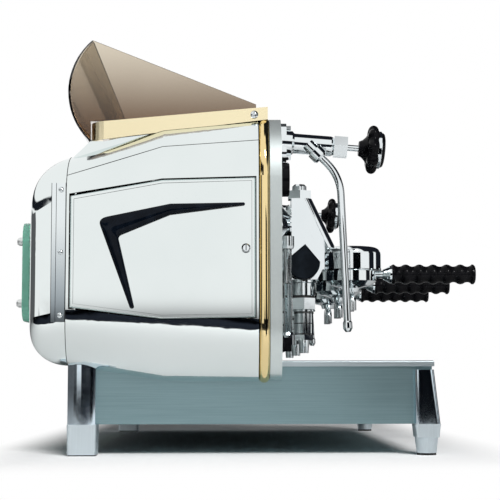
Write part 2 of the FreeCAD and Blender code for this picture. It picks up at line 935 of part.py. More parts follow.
panel_face = front_section(out(0), d.panel_inset)
panel_hollow = front_section(out(0), d.panel_inset + d.panel_wall)
panel_plate = made("panel_plate", Part.Face(panel_face).extrude(Vector(0, float(d.panel_depth), 0)))
panel_inside = made("panel_inside", Part.Face(panel_hollow).extrude(Vector(0, float(d.panel_depth), 0)))
bind(panel_inside, "Placement.Base.y", d.panel_wall)
panel_holes = []
for number, place in enumerate(group_places, start=1):
    panel_holes.append(cylinder(f"group_hole_{number}", d.group_pipe_radius + 0.4, 60,
                                (place, back(0) - 20, d.neck_level), "Y"))
for number, place in enumerate((-valve_out, valve_out), start=1):
    panel_holes.append(cylinder(f"valve_hole_{number}", d.pipe_radius + 0.4, 60,
                                (place, back(0) - 20, d.valve_level), "Y"))
node("front_panel", cut("front_panel", panel_plate, panel_low, panel_inside, *panel_holes))

# brass tube round the front edge of the body, its ends against the base


def trim_tube(radius):
    path = front_section(back(d.panel_depth + d.trim_diameter / 2), d.trim_inset)
    start = Vector(0, float(back(d.panel_depth + d.trim_diameter / 2)), float(d.front_top - d.trim_inset))
    ring = Part.Wire(Part.makeCircle(radius, start, Vector(1, 0, 0)))
    edges = []
    for edge in path.Edges:
        if abs(edge.valueAt((edge.FirstParameter + edge.LastParameter) / 2).z - start.z) < 1e-6:
            edges.append(Part.makeLine(Vector(0, start.y, start.z), edge.Vertexes[0].Point))
            edges.append(Part.makeLine(edge.Vertexes[1].Point, Vector(0, start.y, start.z)))
        elif abs(edge.valueAt((edge.FirstParameter + edge.LastParameter) / 2).z - path.BoundBox.ZMin) > 1e-6:
            edges.append(edge)
    halves = []
    for side in (-1, 1):
        chosen = [edge for edge in edges if edge.CenterOfMass.x * side > 0]
        spine = Part.Wire(Part.__sortEdges__(chosen))
        halves.append(spine.makePipeShell([ring], True, False))
    return halves[0].fuse(halves[1]).removeSplitter()


base_clear = box("base_clear", (panel_low_half * 2, d.panel_depth * 4, d.base_top + d.front_bottom),
                 (-panel_low_half, back(0) - d.panel_depth, -d.front_bottom + d.trim_diameter))
trim_rod = made("trim_rod", trim_tube(float(d.trim_diameter / 2)))
trim_clear = made("trim_clear", trim_tube(float(d.trim_diameter / 2) + 0.3))
node("trim_ring", cut("trim_ring", trim_rod, base_clear))

# base tub with the boiler saddles

base = new_body("base_tub")
add_pad(base, "base_block", "YZ", [
    (out(d.base_front), d.base_floor), (back(d.base_back), d.base_floor), (back(d.base_back), d.base_top),
    (back(d.panel_depth + 1), d.base_top),
    (back(d.panel_depth + 1), d.tray_level), (out(d.base_front), d.tray_level)],
    base_half * 2, -base_half)
inside = base_half - d.base_wall
add_pocket(base, "base_hollow", "XY", rectangle(
    -inside, inside, out(d.base_front - d.base_wall), back(d.base_back - d.base_wall)),
    d.base_top, d.base_floor + d.base_wall, True)
service_names = ("inlet", "drain", "gland")
service_x = [-d.service_pitch, as_size(0), as_size(1) * d.service_pitch]
rear_holes = []
for name, place in zip(service_names, service_x):
    rear_holes.append(cylinder(f"{name}_hole", d.inlet_radius + 0.6, 60,
                               (place, back(d.base_back) - 50, d.service_level), "Y"))
saddles = []
for number, place in enumerate((-d.saddle_out, d.saddle_out), start=1):
    saddles.append(box(f"saddle_{number}",
                       (d.saddle_wall, d.saddle_half * 2, d.boiler_level - d.base_floor - 20),
                       (place - d.saddle_wall / 2, back(d.boiler_back) - d.saddle_half, d.base_floor + 1)))
boiler_space = cylinder("boiler_space", d.boiler_radius + d.saddle_clearance, boiler_half * 2,
                        (-boiler_half, back(d.boiler_back), d.boiler_level), "X")
node("base_frame", fuse("base_frame", cut("holed_base", base, *rear_holes),
                        *[cut(f"cut_{saddle.Name}", saddle, boiler_space) for saddle in saddles]))

# legs wrap the corners of the base

base_block = box("base_corner", (base_half * 2, d.base_front + d.base_back, 300),
                 (-base_half, out(d.base_front), d.base_floor - 100))
front_leg = new_body("front_leg")
add_pad(front_leg, "front_leg_pad", "YZ", [
    (out(d.base_front + d.leg_front_reach), d.base_floor),
    (out(d.base_front + d.leg_front_reach - d.front_leg_depth),
                                                             d.base_floor),
    (out(d.base_front + d.leg_front_reach - d.front_leg_depth), d.front_leg_top),
    (out(d.base_front + d.leg_front_reach - d.front_leg_lean), d.front_leg_top)],
    d.leg_side + 24, base_half - 24)
rounded_edges(front_leg,
              "front_leg_rounding", 7, lambda edge: not runs_along(edge, Vector(1, 0, 0)) and all(
    abs(vertex.X - float(base_half + d.leg_side)) < 1e-6 for vertex in edge.Vertexes)
    and edge.BoundBox.ZLength > 20)
rear_leg = new_body("rear_leg")
add_pad(rear_leg, "rear_leg_pad", "XY", [
    (base_half - 24, back(d.base_back + d.leg_rear_reach - d.rear_leg_depth)),
    (base_half + d.leg_side - 4, back(d.base_back + d.leg_rear_reach - d.rear_leg_depth), 24.0),
    (base_half + d.leg_side - 2, back(d.base_back + d.leg_rear_reach - 9)),
    (base_half + 2, back(d.base_back + d.leg_rear_reach)),
    (base_half - 24, back(d.base_back + d.leg_rear_reach))],
    d.rear_leg_top - d.base_floor, d.base_floor)
right_legs = group("right_legs", cut("front_leg_shell", front_leg, base_block),
                   cut("rear_leg_shell", rear_leg, base_block, body_clear))
node("legs", group("legs", right_legs, mirrored("left_legs", right_legs)))

# feet: blocks under the corners, a turned collar below each front block, rubber pads

block_x = base_half + d.leg_side - 38


def foot_block(name, y_low, depth, z_low, draft):
    outer = block_x + 38
    body = new_body(name)
    add_pad(body, f"{name}_pad", "YZ", [
        (y_low + draft, z_low), (y_low + depth - draft, z_low), (y_low + depth, d.base_floor),
        (y_low, d.base_floor)], 38, outer - 38)
    rounded_edges(body, f"{name}_rounding", 3, lambda edge: not runs_along(edge, Vector(1, 0, 0))
                  and edge.BoundBox.ZLength > 5)
    return body


front_block = foot_block("front_foot", out(d.base_front + d.leg_front_reach), d.front_leg_depth,
                         d.front_foot_bottom, 2)
rear_block = foot_block("rear_foot", back(d.base_back + d.leg_rear_reach) - 40, as_size(40),
                        d.pad_height / 2, 0.6)
collar_y = out(d.base_front + d.leg_front_reach - d.front_leg_depth / 2)
collar = cone("foot_collar", d.collar_bottom_radius, d.collar_top_radius,
              d.front_foot_bottom - d.pad_height,
              (block_x + 19, collar_y, d.pad_height))
right_feet = group("right_feet", front_block, rear_block, collar)
node("feet", group("feet", right_feet, mirrored("left_feet", right_feet)))
front_pad = cylinder("front_pad", d.collar_bottom_radius - 0.5, d.pad_height, (block_x + 19, collar_y, 0))
rear_pad = box("rear_pad", (34, 36, d.pad_height / 2),
               (block_x + 2, back(d.base_back + d.leg_rear_reach) - 38, 0))
right_pads = group("right_pads", front_pad, rear_pad)
node("foot_pads", group("foot_pads", right_pads, mirrored("left_pads", right_pads)))

# drip pan welded from a floor, four sides and a lip that hangs in the base; the rim lies on the lip,
# and the grid inside the rim

well = base_half - d.pan_lip
well_front = out(d.base_front - d.pan_lip)
well_back = out(12)
lip_top = d.tray_level + d.pan_wall
well_bottom = lip_top - d.pan_depth
well_length = well_back - well_front
pan_y = (well_front + well_back) / 2
pan_plate = box("pan_plate", (well * 2, well_length, d.pan_wall), (-well, well_front, well_bottom))
pan_drain = cylinder("pan_drain", d.drain_radius, 10, (0, pan_y, well_bottom - 8))
pan_bore = cylinder("pan_bore", d.drain_radius - 2, 30, (0, pan_y, well_bottom - 20))
pan_floor = cut("pan_floor", fuse("pan_with_drain", pan_plate, pan_drain), pan_bore)
side_level = well_bottom + d.pan_wall
side_height = d.tray_level - side_level
pan_front = box("pan_front", (well * 2, d.pan_wall, side_height), (-well, well_front, side_level))
pan_back = box("pan_back", (well * 2, d.pan_wall, side_height), (-well, well_back - d.pan_wall, side_level))
pan_right = box("pan_right", (d.pan_wall, well_length - d.pan_wall * 2, side_height),
                (well - d.pan_wall, well_front + d.pan_wall, side_level))
lip_edge = well_front + d.pan_wall
lip_end = well_back - d.pan_wall
front_lip = box("front_lip", (base_half * 2, lip_edge - out(d.base_front), d.pan_wall),
                (-base_half, out(d.base_front), d.tray_level))
back_lip = box("back_lip", (base_half * 2, back(d.panel_depth) - lip_end, d.pan_wall),
               (-base_half, lip_end, d.tray_level))
right_lip = box("right_lip", (d.pan_lip + d.pan_wall, lip_end - lip_edge, d.pan_wall),
                (well - d.pan_wall, lip_edge, d.tray_level))
node("drip_pan", group("drip_pan", pan_floor, pan_front, pan_back, pan_right, mirrored("pan_left", pan_right),
                       front_lip, back_lip, right_lip, mirrored("left_lip", right_lip)))

rim = new_body("tray_rim")
rim_half = base_half + d.rim_overhang
rim_front = out(d.base_front + d.rim_overhang)
add_pad(rim, "rim_bar", "XY", rectangle(-rim_half, rim_half, rim_front, out(0)), d.rim_height, lip_top)
add_pocket(rim, "rim_hole", "XY", rectangle(
    -rim_half + d.rim_width, rim_half - d.rim_width, rim_front + d.rim_width, out(d.rim_width)),
    d.rim_height, lip_top + d.rim_height)
rounded_edges(rim, "rim_rounding", 2.5, lambda edge: all(
    abs(vertex.Z - float(lip_top + d.rim_height)) < 1e-6 for vertex in edge.Vertexes)
    and (abs(edge.CenterOfMass.x) > float(rim_half) - 1 or edge.CenterOfMass.y < float(rim_front) + 1))
node("tray_rim", rim)

grid = new_body("drip_grid")
grid_half = rim_half - d.rim_width - d.grid_gap
grid_front = rim_front + d.rim_width + d.grid_gap
grid_back = out(d.rim_width + d.grid_gap)
grid_height = d.rim_height - 1
add_pad(grid, "grid_plate", "XY", rectangle(-grid_half, grid_half, grid_front, grid_back), grid_height,
        lip_top)
add_pocket(grid, "grid_under", "XY", rectangle(
    -grid_half + 9, grid_half - 9, grid_front + 9, grid_back - 9), grid_height - d.grid_wall, lip_top, True)
slot_pitch = (grid_half * 2 - 30) / d.grid_slots
first_slot = -grid_half + 15 + slot_pitch / 2
slot = add_pocket(grid, "grid_slot", "XY", rectangle(
    first_slot - d.grid_slot / 2, first_slot + d.grid_slot / 2, grid_front + 15, grid_back - 15),
    grid_height + 10, lip_top + grid_height)
slots = grid.newObject("PartDesign::LinearPattern", "grid_slot_row")
slots.Originals = [slot]
slots.Direction = (slot.Profile[0], ["H_Axis"])
bind(slots, "Length", slot_pitch * (d.grid_slots - 1))
bind(slots, "Occurrences", d.grid_slots)
grid.Tip = slots
node("drip_grid", grid)

# cup warmer: rail, slotted shelf and bent smoked guard


rail_block = new_body("rail_block")
add_pad(rail_block, "rail_outer", "YZ", [
    (back(d.rail_front), d.rail_front_bottom), (back(d.rail_back), d.rail_back_bottom),
    (back(d.rail_back), d.rail_back_top), (back(d.rail_front), d.rail_front_top)],
    rail_half * 2, -rail_half)
rounded_edges(rail_block, "rail_corners", d.rail_corner, lambda edge: runs_along(edge, Vector(0, 0, 1))
              and edge.CenterOfMass.y > float(back(d.rail_back)) - 1)
rail_inner = rail_half - d.rail_wall
rail_hole = new_body("rail_hole")
add_pad(rail_hole, "rail_space", "YZ", [
    (back(d.rail_front + d.rail_wall), d.rail_back_bottom - 40), (back(d.rail_back - d.rail_wall),
                                                                 d.rail_back_bottom - 40),
    (back(d.rail_back - d.rail_wall), d.rail_front_top + 40), (back(d.rail_front + d.rail_wall),
                                                               d.rail_front_top + 40)],
    rail_inner * 2, -rail_inner)
rounded_edges(rail_hole, "rail_space_corners", d.rail_corner - d.rail_wall,
              lambda edge: runs_along(edge, Vector(0, 0, 1))
              and edge.CenterOfMass.y > float(back(d.rail_back - d.rail_wall)) - 1)
node("cup_rail", cut("cup_rail", rail_block, rail_hole, body_clear, trim_clear))

rail_slope = (d.rail_front_top - d.rail_back_top) / (d.rail_back - d.rail_front)


def shelf_level(place, below):
    # height of the sloped shelf at one depth
    return d.rail_front_top - d.shelf_drop - below - (place - d.rail_front) * rail_slope


shelf_front = d.rail_front + d.rail_wall + 0.3
shelf_back = d.rail_back - d.rail_wall - d.rail_corner + 4
shelf = new_body("cup_tray")
add_pad(shelf, "shelf_plate", "YZ", [
    (back(shelf_front), shelf_level(shelf_front, d.shelf_wall)),
    (back(shelf_back), shelf_level(shelf_back, d.shelf_wall)),
    (back(shelf_back), shelf_level(shelf_back, 0)), (back(shelf_front), shelf_level(shelf_front, 0))],
    (rail_inner - 0.3) * 2, -(rail_inner - 0.3))
shelf_pitch = (rail_inner * 2 - 40) / d.shelf_slots
first_hole = -rail_inner + 20 + shelf_pitch / 2
shelf_slot = add_pocket(shelf, "shelf_slot", "XY", rectangle(
    first_hole - 3, first_hole + 3, back(shelf_front + 30), back(shelf_back - 30)), 200, d.rail_front_top)
slot_row = shelf.newObject("PartDesign::LinearPattern", "shelf_slot_row")
slot_row.Originals = [shelf_slot]
slot_row.Direction = (shelf_slot.Profile[0], ["H_Axis"])
bind(slot_row, "Length", shelf_pitch * (d.shelf_slots - 1))
bind(slot_row, "Occurrences", d.shelf_slots)
shelf.Tip = slot_row
node("cup_tray", shelf)

guard_half = rail_inner - 0.5
guard_foot = d.rail_back + 0.5
guard_low = d.rail_back_bottom + 3
guard_rise = d.guard_top - guard_low
guard_radius = guard_rise / (2 * math.sin(math.radians(float(d.guard_sweep) / 2)))
guard = new_body("cup_guard")
add_pad(guard, "guard_block", "YZ", [
    (back(d.guard_tip), shelf_level(d.guard_tip, 0)), (back(shelf_back), shelf_level(shelf_back, 0)),
    (back(shelf_back), guard_low), (back(guard_foot + d.guard_wall), guard_low, guard_radius),
    (back(guard_foot), d.guard_top), (back(d.guard_tip), d.rail_front_top + 4)],
    guard_half * 2, -guard_half)
rounded_edges(guard, "guard_bends", d.guard_bend, lambda edge: edge.Curve.TypeId == "Part::GeomCircle")
guard_inner = guard_half - d.guard_wall
add_pocket(guard, "guard_space", "YZ", [
    (back(0), guard_low - 60), (back(guard_foot), guard_low - 60),
    (back(guard_foot), guard_low, guard_radius),
    (back(guard_foot - d.guard_wall), d.guard_top), (back(guard_foot - d.guard_wall), d.guard_top + 60),
    (back(0), d.guard_top + 60)], guard_inner * 2, guard_inner)
guard_notch = box("guard_notch",
                  (wide, guard_foot - shelf_back + 2, d.rail_back_top + 2.4 - guard_low + 60),
                  (-wide / 2, back(shelf_back - 2), guard_low - 60))
node("cup_guard", cut("cup_guard", guard, guard_notch))

# green glass on spacers with caps

glass_inner = back(d.seam_back + d.cover_depth + d.spacer_length)
glass = new_body("rear_glass")
add_pad(glass, "glass_plate", "XZ", rectangle(-d.glass_half, d.glass_half, d.glass_bottom, d.glass_top),
        d.glass_wall, -(glass_inner + d.glass_wall))
rounded_edges(glass, "glass_corners", d.glass_corner, lambda edge: runs_along(edge, Vector(0, 1, 0)))
spacer = turned("spacer", [
    (0, -d.spacer_length), (d.spacer_radius, -d.spacer_length), (d.spacer_radius, 0), (d.stud_radius, 0),
    (d.stud_radius, d.glass_wall + d.cap_length - 4), (0, d.glass_wall + d.cap_length - 4)], (0, 0, 0), "Y")
cap = turned("spacer_cap", [
    (d.stud_radius + 0.05, d.glass_wall), (d.spacer_radius, d.glass_wall),
    (d.spacer_radius, d.glass_wall + d.cap_length - 3), (d.spacer_radius - 2, d.glass_wall + d.cap_length),
    (0, d.glass_wall + d.cap_length), (0, d.glass_wall + d.cap_length - 3.9),
    (d.stud_radius + 0.05, d.glass_wall + d.cap_length - 3.9)], (0, 0, 0), "Y")
cap_places = []
for side_x in (-d.glass_half + d.cap_inset, d.glass_half - d.cap_inset):
    for level in (d.glass_bottom + d.cap_inset, d.glass_top - d.cap_inset):
        cap_places.append((side_x, glass_inner, level))
glass_bore = cylinder("glass_bore", d.stud_radius + 0.05, d.glass_wall + 10, (0, -5, 0), "Y")
node("rear_glass", cut("drilled_glass", glass, copies("glass_bores", glass_bore, cap_places)))
node("glass_spacers", group("glass_spacers", copies("spacers", spacer, cap_places),
                            copies("spacer_caps", cap, cap_places)))

# brew group: neck casting, rosette, cam box and bell with its bayonet

neck = new_body("group_neck")
add_pad(neck, "neck_block", "YZ", [
    (out(d.neck_back), d.neck_top), (out(d.neck_back), d.neck_bottom),
    (out(d.bell_out - 52), d.neck_bottom),
    (out(d.bell_out - 44), d.bell_bottom), (out(d.neck_foot_out), d.bell_bottom),
    (out(d.neck_foot_out), d.bell_top),
    (out(d.neck_top_out), d.neck_top)], d.neck_half * 2, -d.neck_half)
rounded_edges(neck, "neck_rounding", 11, lambda edge: not runs_along(edge, Vector(1, 0, 0))
              and edge.BoundBox.ZLength > 30 and edge.CenterOfMass.y < float(out(d.neck_back + 8)))
rosette = turned("group_rosette", [
    (0, 0), (d.rosette_radius, 0), (d.rosette_radius, 3), (d.neck_half - 3, d.rosette_height),
    (d.neck_half - 3, d.neck_back + 4), (0, d.neck_back + 4)], (0, out(0), d.neck_level), "-Y")
cam_box = cylinder("cam_box", d.cam_radius, d.cam_half * 2, (-d.cam_half, out(d.cam_out), d.cam_level), "X")
bell = turned("group_bell", [
    (0, d.bell_bottom + 2), (d.bell_radius, d.bell_bottom),
    (d.bell_radius, d.bell_top - d.bell_edge, d.bell_edge),
    (d.bell_radius - d.bell_edge, d.bell_top), (0, d.bell_top)], (0, out(d.bell_out), 0))
ledge_top = d.bell_bottom + d.ledge_height
groove_top = ledge_top + d.groove_height
seat_top = groove_top + d.seat_height
bell_space = turned("bell_space", [
    (0, d.bell_bottom - 5), (d.ledge_radius, d.bell_bottom - 5), (d.ledge_radius, ledge_top),
    (d.groove_radius, ledge_top), (d.groove_radius, groove_top), (d.seat_radius, groove_top),
    (d.seat_radius, seat_top), (0, seat_top)], (0, out(d.bell_out), 0))


def wedge(name, radius, half_angle, middle_angle, low, high):
    # a slice of a disc between two radial planes, on the axis of the bell
    item = doc.addObject("Part::Cylinder", name)
    bind(item, "Radius", radius)
    bind(item, "Height", high - low)
    bind(item, "Angle", half_angle * 2)
    bind(item, "Placement.Base.y", out(d.bell_out))
    bind(item, "Placement.Base.z", low)
    item.Placement = Placement(item.Placement.Base,
                               Rotation(Vector(0, 0, 1), float(middle_angle - half_angle)))
    return item


gap_half = d.ear_half_angle + 4
gate_near = wedge("gate_near", d.groove_radius, gap_half, -d.unlock_angle, d.bell_bottom - 5, ledge_top)
gate_far = wedge("gate_far", d.groove_radius, gap_half, 180 - d.unlock_angle, d.bell_bottom - 5, ledge_top)
lever_bore = cylinder("lever_bore", d.lever_shaft + d.shaft_clearance, d.lever_shaft_length + 2,
                      (-d.cam_half - 2, out(d.cam_out), d.cam_level), "X")
one_group = cut("one_group", fuse("group_casting", neck, rosette, cam_box, bell), bell_space, gate_near,
                gate_far,
                lever_bore)
group_shift = [(place, 0, 0) for place in group_places]
node("group_bodies", copies("group_bodies", one_group, group_shift))

nut = padded("group_nut", "XY", hexagon(d.nut_width), d.nut_height, 0)
put(nut, 0, out(d.nut_out), d.neck_top)
nut_cap = turned("group_nut_cap", [
    (0, 0), (d.nut_cap_radius, 0), (d.nut_cap_radius, d.nut_cap_height - 3),
    (d.nut_cap_radius - 3, d.nut_cap_height), (0, d.nut_cap_height)],
    (0, out(d.nut_out), d.neck_top + d.nut_height))
node("group_nuts", copies("group_nuts", fuse("one_nut", nut, nut_cap), group_shift))

chamber = turned("group_chamber", [
    (0, d.neck_bottom), (d.chamber_radius + 1.6, d.neck_bottom),
    (d.chamber_radius + 1.6, d.neck_bottom - 4),
    (d.chamber_radius, d.neck_bottom - 5), (d.chamber_radius, d.chamber_waist + 4),
    (d.chamber_radius - 2, d.chamber_waist + 3), (d.chamber_radius - 2, d.chamber_waist),
    (d.chamber_radius - 1, d.chamber_waist), (d.chamber_radius - 1, d.chamber_step + 4),
    (d.chamber_radius, d.chamber_step + 3), (d.chamber_radius, d.chamber_step + 1),
    (d.chamber_low_radius, d.chamber_step), (d.chamber_low_radius, d.chamber_nut_top),
    (d.chamber_low_radius - 2, d.chamber_nut_top), (d.chamber_low_radius - 2, d.nozzle_top),
    (d.nozzle_radius, d.nozzle_top), (d.nozzle_radius - 1.5, d.nozzle_bottom), (0, d.nozzle_bottom)],
    (0, out(d.chamber_out), 0))
chamber_nut = padded("chamber_nut", "XY", hexagon((d.chamber_low_radius - 1) * 2),
                     d.chamber_nut_top - d.nozzle_top, 0)
put(chamber_nut, 0, out(d.chamber_out), d.nozzle_top)
chamber_hex = padded("chamber_hex", "XY", hexagon(d.chamber_radius * 2 - 1.5),
                     d.chamber_waist - d.chamber_step - 4, 0)
put(chamber_hex, 0, out(d.chamber_out), d.chamber_step + 4)
one_chamber = fuse("one_chamber", chamber, chamber_nut, chamber_hex)
node("group_chambers", copies("group_chambers", one_chamber, group_shift))

gasket = turned("group_gasket", [
    (d.basket_radius, groove_top + 0.05), (d.seat_radius - 0.05, groove_top + 0.05),
    (d.seat_radius - 0.05, seat_top), (d.basket_radius, seat_top)], (0, out(d.bell_out), 0))
node("group_gaskets", copies("group_gaskets", gasket, group_shift))
shower = turned("shower_screen", [
    (0, groove_top + 2), (d.basket_radius - 0.4, groove_top + 2), (d.basket_radius - 0.4, seat_top),
    (0, seat_top)],
    (0, out(d.bell_out), 0))
node("shower_screens", copies("shower_screens", shower, group_shift))

# levers: a drop-shaped black knob on the cam shaft

lever_half = root_of(d.lever_radius * d.lever_radius - d.lever_corner * d.lever_corner)
lever_knob = new_body("lever_knob")
add_pad(lever_knob, "lever_drop", "YZ", [
    (0, d.lever_tip), (-lever_half, d.lever_corner, d.lever_radius), (0, -d.lever_radius, d.lever_radius),
    (lever_half, d.lever_corner)],
    d.lever_wall, -d.cam_half - d.lever_gap - d.lever_wall)
rounded_edges(lever_knob, "lever_rounding", 2, lambda edge: all(
    abs(vertex.X + float(d.cam_half + d.lever_gap + d.lever_wall)) < 1e-6 for vertex in edge.Vertexes))
put(lever_knob, 0, out(d.cam_out), d.cam_level)
lever_knob.Placement.Rotation = Rotation(Vector(1, 0, 0), float(d.lever_tilt))
lever_pin = cylinder("lever_pin", d.lever_shaft, d.lever_shaft_length + d.lever_gap + 2,
                     (-d.cam_half - d.lever_gap - 2, out(d.cam_out), d.cam_level), "X")
lever = fuse("lever", lever_knob, lever_pin)

# portafilter: holder with ears, neck, tang and double spout; basket; waved handle

holder = turned("holder_cup", [
    (0, d.holder_bottom - 6), (11, d.holder_bottom - 6), (13, d.holder_bottom),
    (d.holder_radius - 6, d.holder_bottom + 4), (d.holder_collar, d.holder_floor - 2),
    (d.holder_collar, d.bell_bottom - 2), (d.holder_radius, d.bell_bottom - 1),
    (d.holder_radius, d.holder_top), (d.basket_radius + 0.5, d.holder_top),
    (d.basket_radius + 0.5, d.holder_floor), (0, d.holder_floor)], (0, out(d.bell_out), 0))
ears = [wedge(f"ear_{number}", d.ear_radius, d.ear_half_angle, as_size(angle), ledge_top,
              ledge_top + d.ear_height)
        for number, angle in enumerate((0, 180), start=1)]
ear_core = cylinder("ear_core", d.basket_radius + 2, d.ear_height + 4, (0, out(d.bell_out), ledge_top - 2))
ear_pair = cut("ear_pair", fuse("ear_blanks", *ears), ear_core)
handle_y = out(d.bell_out + d.handle_start)
arm = turned("holder_arm", [
    (0, 30), (5.6, 30), (5.6, d.bell_radius + 1.5), (7.5, d.bell_radius + 2), (10, d.handle_start - 8),
    (13, d.handle_start - 3),
    (13, d.handle_start), (d.handle_tang, d.handle_start), (d.handle_tang, d.handle_start + d.tang_length),
    (0, d.handle_start + d.tang_length)], (0, out(d.bell_out), d.handle_level), "-Y")
arm_space = cylinder("arm_space", d.basket_radius + 0.5, 60, (0, out(d.bell_out), d.holder_floor))


def spout_shape(radius):
    y = float(out(d.bell_out))
    top = float(d.holder_bottom) - 7
    half = float(d.spout_half)
    low = float(d.spout_bottom)
    halves = []
    for side in (-1, 1):
        halves.append(bent_tube([Vector(0, y, top), Vector(side * half, y, top - 9),
                                 Vector(side * half, y, low)],
                                radius, 9.0))
    return halves[0].fuse(halves[1])


spouts = made("spouts", spout_shape(float(d.spout_radius)))
spout_bores = made("spout_bores", spout_shape(float(d.spout_bore)))
outlet = cylinder("outlet", d.spout_bore, 40, (0, out(d.bell_out), d.holder_bottom - 9))
holder_body = cut("holder_body",
                  fuse("holder_blank", holder, ear_pair, cut("arm_outside", arm, arm_space), spouts),
                  spout_bores, outlet)
basket = turned("filter_basket", [
    (0, d.basket_floor), (d.basket_radius - 2, d.basket_floor), (d.basket_radius, d.basket_floor + 8),
    (d.basket_radius, d.holder_top), (d.basket_flange, d.holder_top),
    (d.basket_flange, d.holder_top + d.basket_wall),
    (d.basket_radius - d.basket_wall, d.holder_top + d.basket_wall),
    (d.basket_radius - d.basket_wall, d.basket_floor + 8.5),
    (d.basket_radius - 3, d.basket_floor + d.basket_wall),
    (0, d.basket_floor + d.basket_wall)], (0, out(d.bell_out), 0))
portafilter = group("portafilter", holder_body, basket)


def handle_points():
    # swells along the grip between a flared start and a flared end:
    # hollow and bulging arcs of one radius, each half a swell long
    swell = (d.handle_length - d.handle_flare * 2) / (d.handle_swells + 0.5)
    middle = d.handle_radius - d.handle_wave / 2
    rise = d.handle_wave / 2
    radius = (swell * swell / 16 + rise * rise) / (d.handle_wave)
    count = int(float(d.handle_swells))
    points = [(d.handle_tang + 0.05, 0), (d.handle_radius - 1, 0), (d.handle_radius, 2),
              (d.handle_radius, d.handle_flare - 2)]
    for half in range(2 * count + 1):
        points.append((middle, d.handle_flare + swell * (half / 2), -radius if half % 2 == 0 else radius))
    points.append((middle, d.handle_length - d.handle_flare))
    points.append((d.handle_radius, d.handle_length - d.handle_flare + 1.5))
    points.append((d.handle_radius, d.handle_length - 2))
    points.append((d.handle_radius - 2, d.handle_length))
    points.append((0, d.handle_length))
    points.append((0, d.tang_length + 1))
    points.append((d.handle_tang + 0.05, d.tang_length + 1))
    return points


handle = turned("portafilter_handle", handle_points(), (0, handle_y, d.handle_level), "-Y")

for number, place in enumerate(group_places, start=1):
    node(f"portafilter_{number}", copies(f"portafilter_{number}", portafilter, [(place, 0, 0)]))
    node(f"portafilter_handle_{number}", copies(f"portafilter_handle_{number}", handle, [(place, 0, 0)]))
    node(f"lever_{number}", copies(f"lever_{number}", lever, [(place, 0, 0)]))

# steam valves: flange on the panel, leaning barrel, bonnet nut and ball nut

lean = Rotation(Vector(1, 0, 0), 90 + float(d.valve_lean))


def lean_from_panel(item, distance):
    # stands a piece on the leaning spindle axis, this far from the panel face
    reach = math.radians(float(d.valve_lean))
    item.Placement = Placement(Vector(), lean)
    bind(item, "Placement.Base.x", valve_out)
    bind(item, "Placement.Base.y", out(distance * math.cos(reach)))
    bind(item, "Placement.Base.z", d.valve_level - distance * math.sin(reach))
    return item


flange = new_body("valve_flange")
add_pad(flange, "flange_plate", "XZ", rectangle(
    valve_out - d.flange_half, valve_out + d.flange_half, d.valve_level - d.flange_drop,
    d.valve_level + d.flange_rise), d.valve_flange, -out(0))
rounded_edges(flange, "flange_corners", 12, lambda edge: runs_along(edge, Vector(0, 1, 0)))
flange_bolts = []
bolt_levels = [d.valve_level - d.flange_drop + 8, d.valve_level + d.flange_rise - 8]
for number, level in enumerate(bolt_levels, start=1):
    bolt = padded(f"flange_bolt_{number}", "XY", hexagon(as_size(10)), 7, 0)
    flange_bolts.append(put(bolt, valve_out, out(d.valve_flange - 0.5), level, "-Y"))
barrel = lean_from_panel(turned("valve_barrel", [
    (0, 3), (d.valve_collar, 3), (d.valve_collar, d.valve_flange + 8),
    (d.valve_radius, d.valve_flange + 11),
    (d.valve_radius, d.valve_length - 4), (d.valve_radius - 2, d.valve_length), (0, d.valve_length)]),
    as_size(0))
bonnet = lean_from_panel(padded("valve_bonnet", "XY", hexagon(d.bonnet_width), d.bonnet_length,
                                d.valve_length),
                         as_size(0))
spindle_bore = lean_from_panel(cylinder("spindle_bore", d.spindle_radius + d.spindle_clearance, 80,
                                        (0, 0, 0)),
                               d.valve_length - 20)
ball_turn = Rotation(Vector(1, 0, 0), 135)


def at_ball(item, distance=0):
    item.Placement = Placement(Vector(), ball_turn)
    slant = math.sqrt(0.5)
    bind(item, "Placement.Base.x", valve_out + d.ball_side)
    bind(item, "Placement.Base.y", out(d.ball_out + distance * slant))
    bind(item, "Placement.Base.z", d.ball_level - distance * slant)
    return item


ball_nut = at_ball(turned("ball_nut", [
    (0, -22), (d.ball_nut_radius - 3, -22), (d.ball_nut_radius - 3, -10), (d.ball_nut_radius, -9),
    (d.ball_nut_radius, 3), (d.ball_nut_radius - 2.5, 6), (0, 6)]))
socket = doc.addObject("Part::Sphere", "ball_socket")
bind(socket, "Radius", d.ball_radius + d.ball_clearance)
at_ball(socket)
socket_mouth = at_ball(cylinder("socket_mouth", d.wand_radius + 1.2, 20, (0, 0, 0)))
one_valve = cut("one_valve", fuse("valve_blank", flange, barrel, bonnet, ball_nut, *flange_bolts),
                spindle_bore,
                socket, socket_mouth)
node("steam_valves", group("steam_valves", one_valve, mirrored("left_valve", one_valve)))

knob_end = d.knob_start + d.knob_length
spindle = lean_from_panel(turned("steam_spindle", [
    (0, d.valve_length - 18), (d.spindle_radius, d.valve_length - 18), (d.spindle_radius, knob_end),
    (d.knob_cap_radius, knob_end), (d.knob_cap_radius, knob_end + d.knob_cap_height - 2),
    (d.knob_cap_radius - 3, knob_end + d.knob_cap_height), (0, knob_end + d.knob_cap_height)]), as_size(0))
node("right_steam_spindle", spindle)
node("left_steam_spindle", mirrored("left_steam_spindle", spindle))

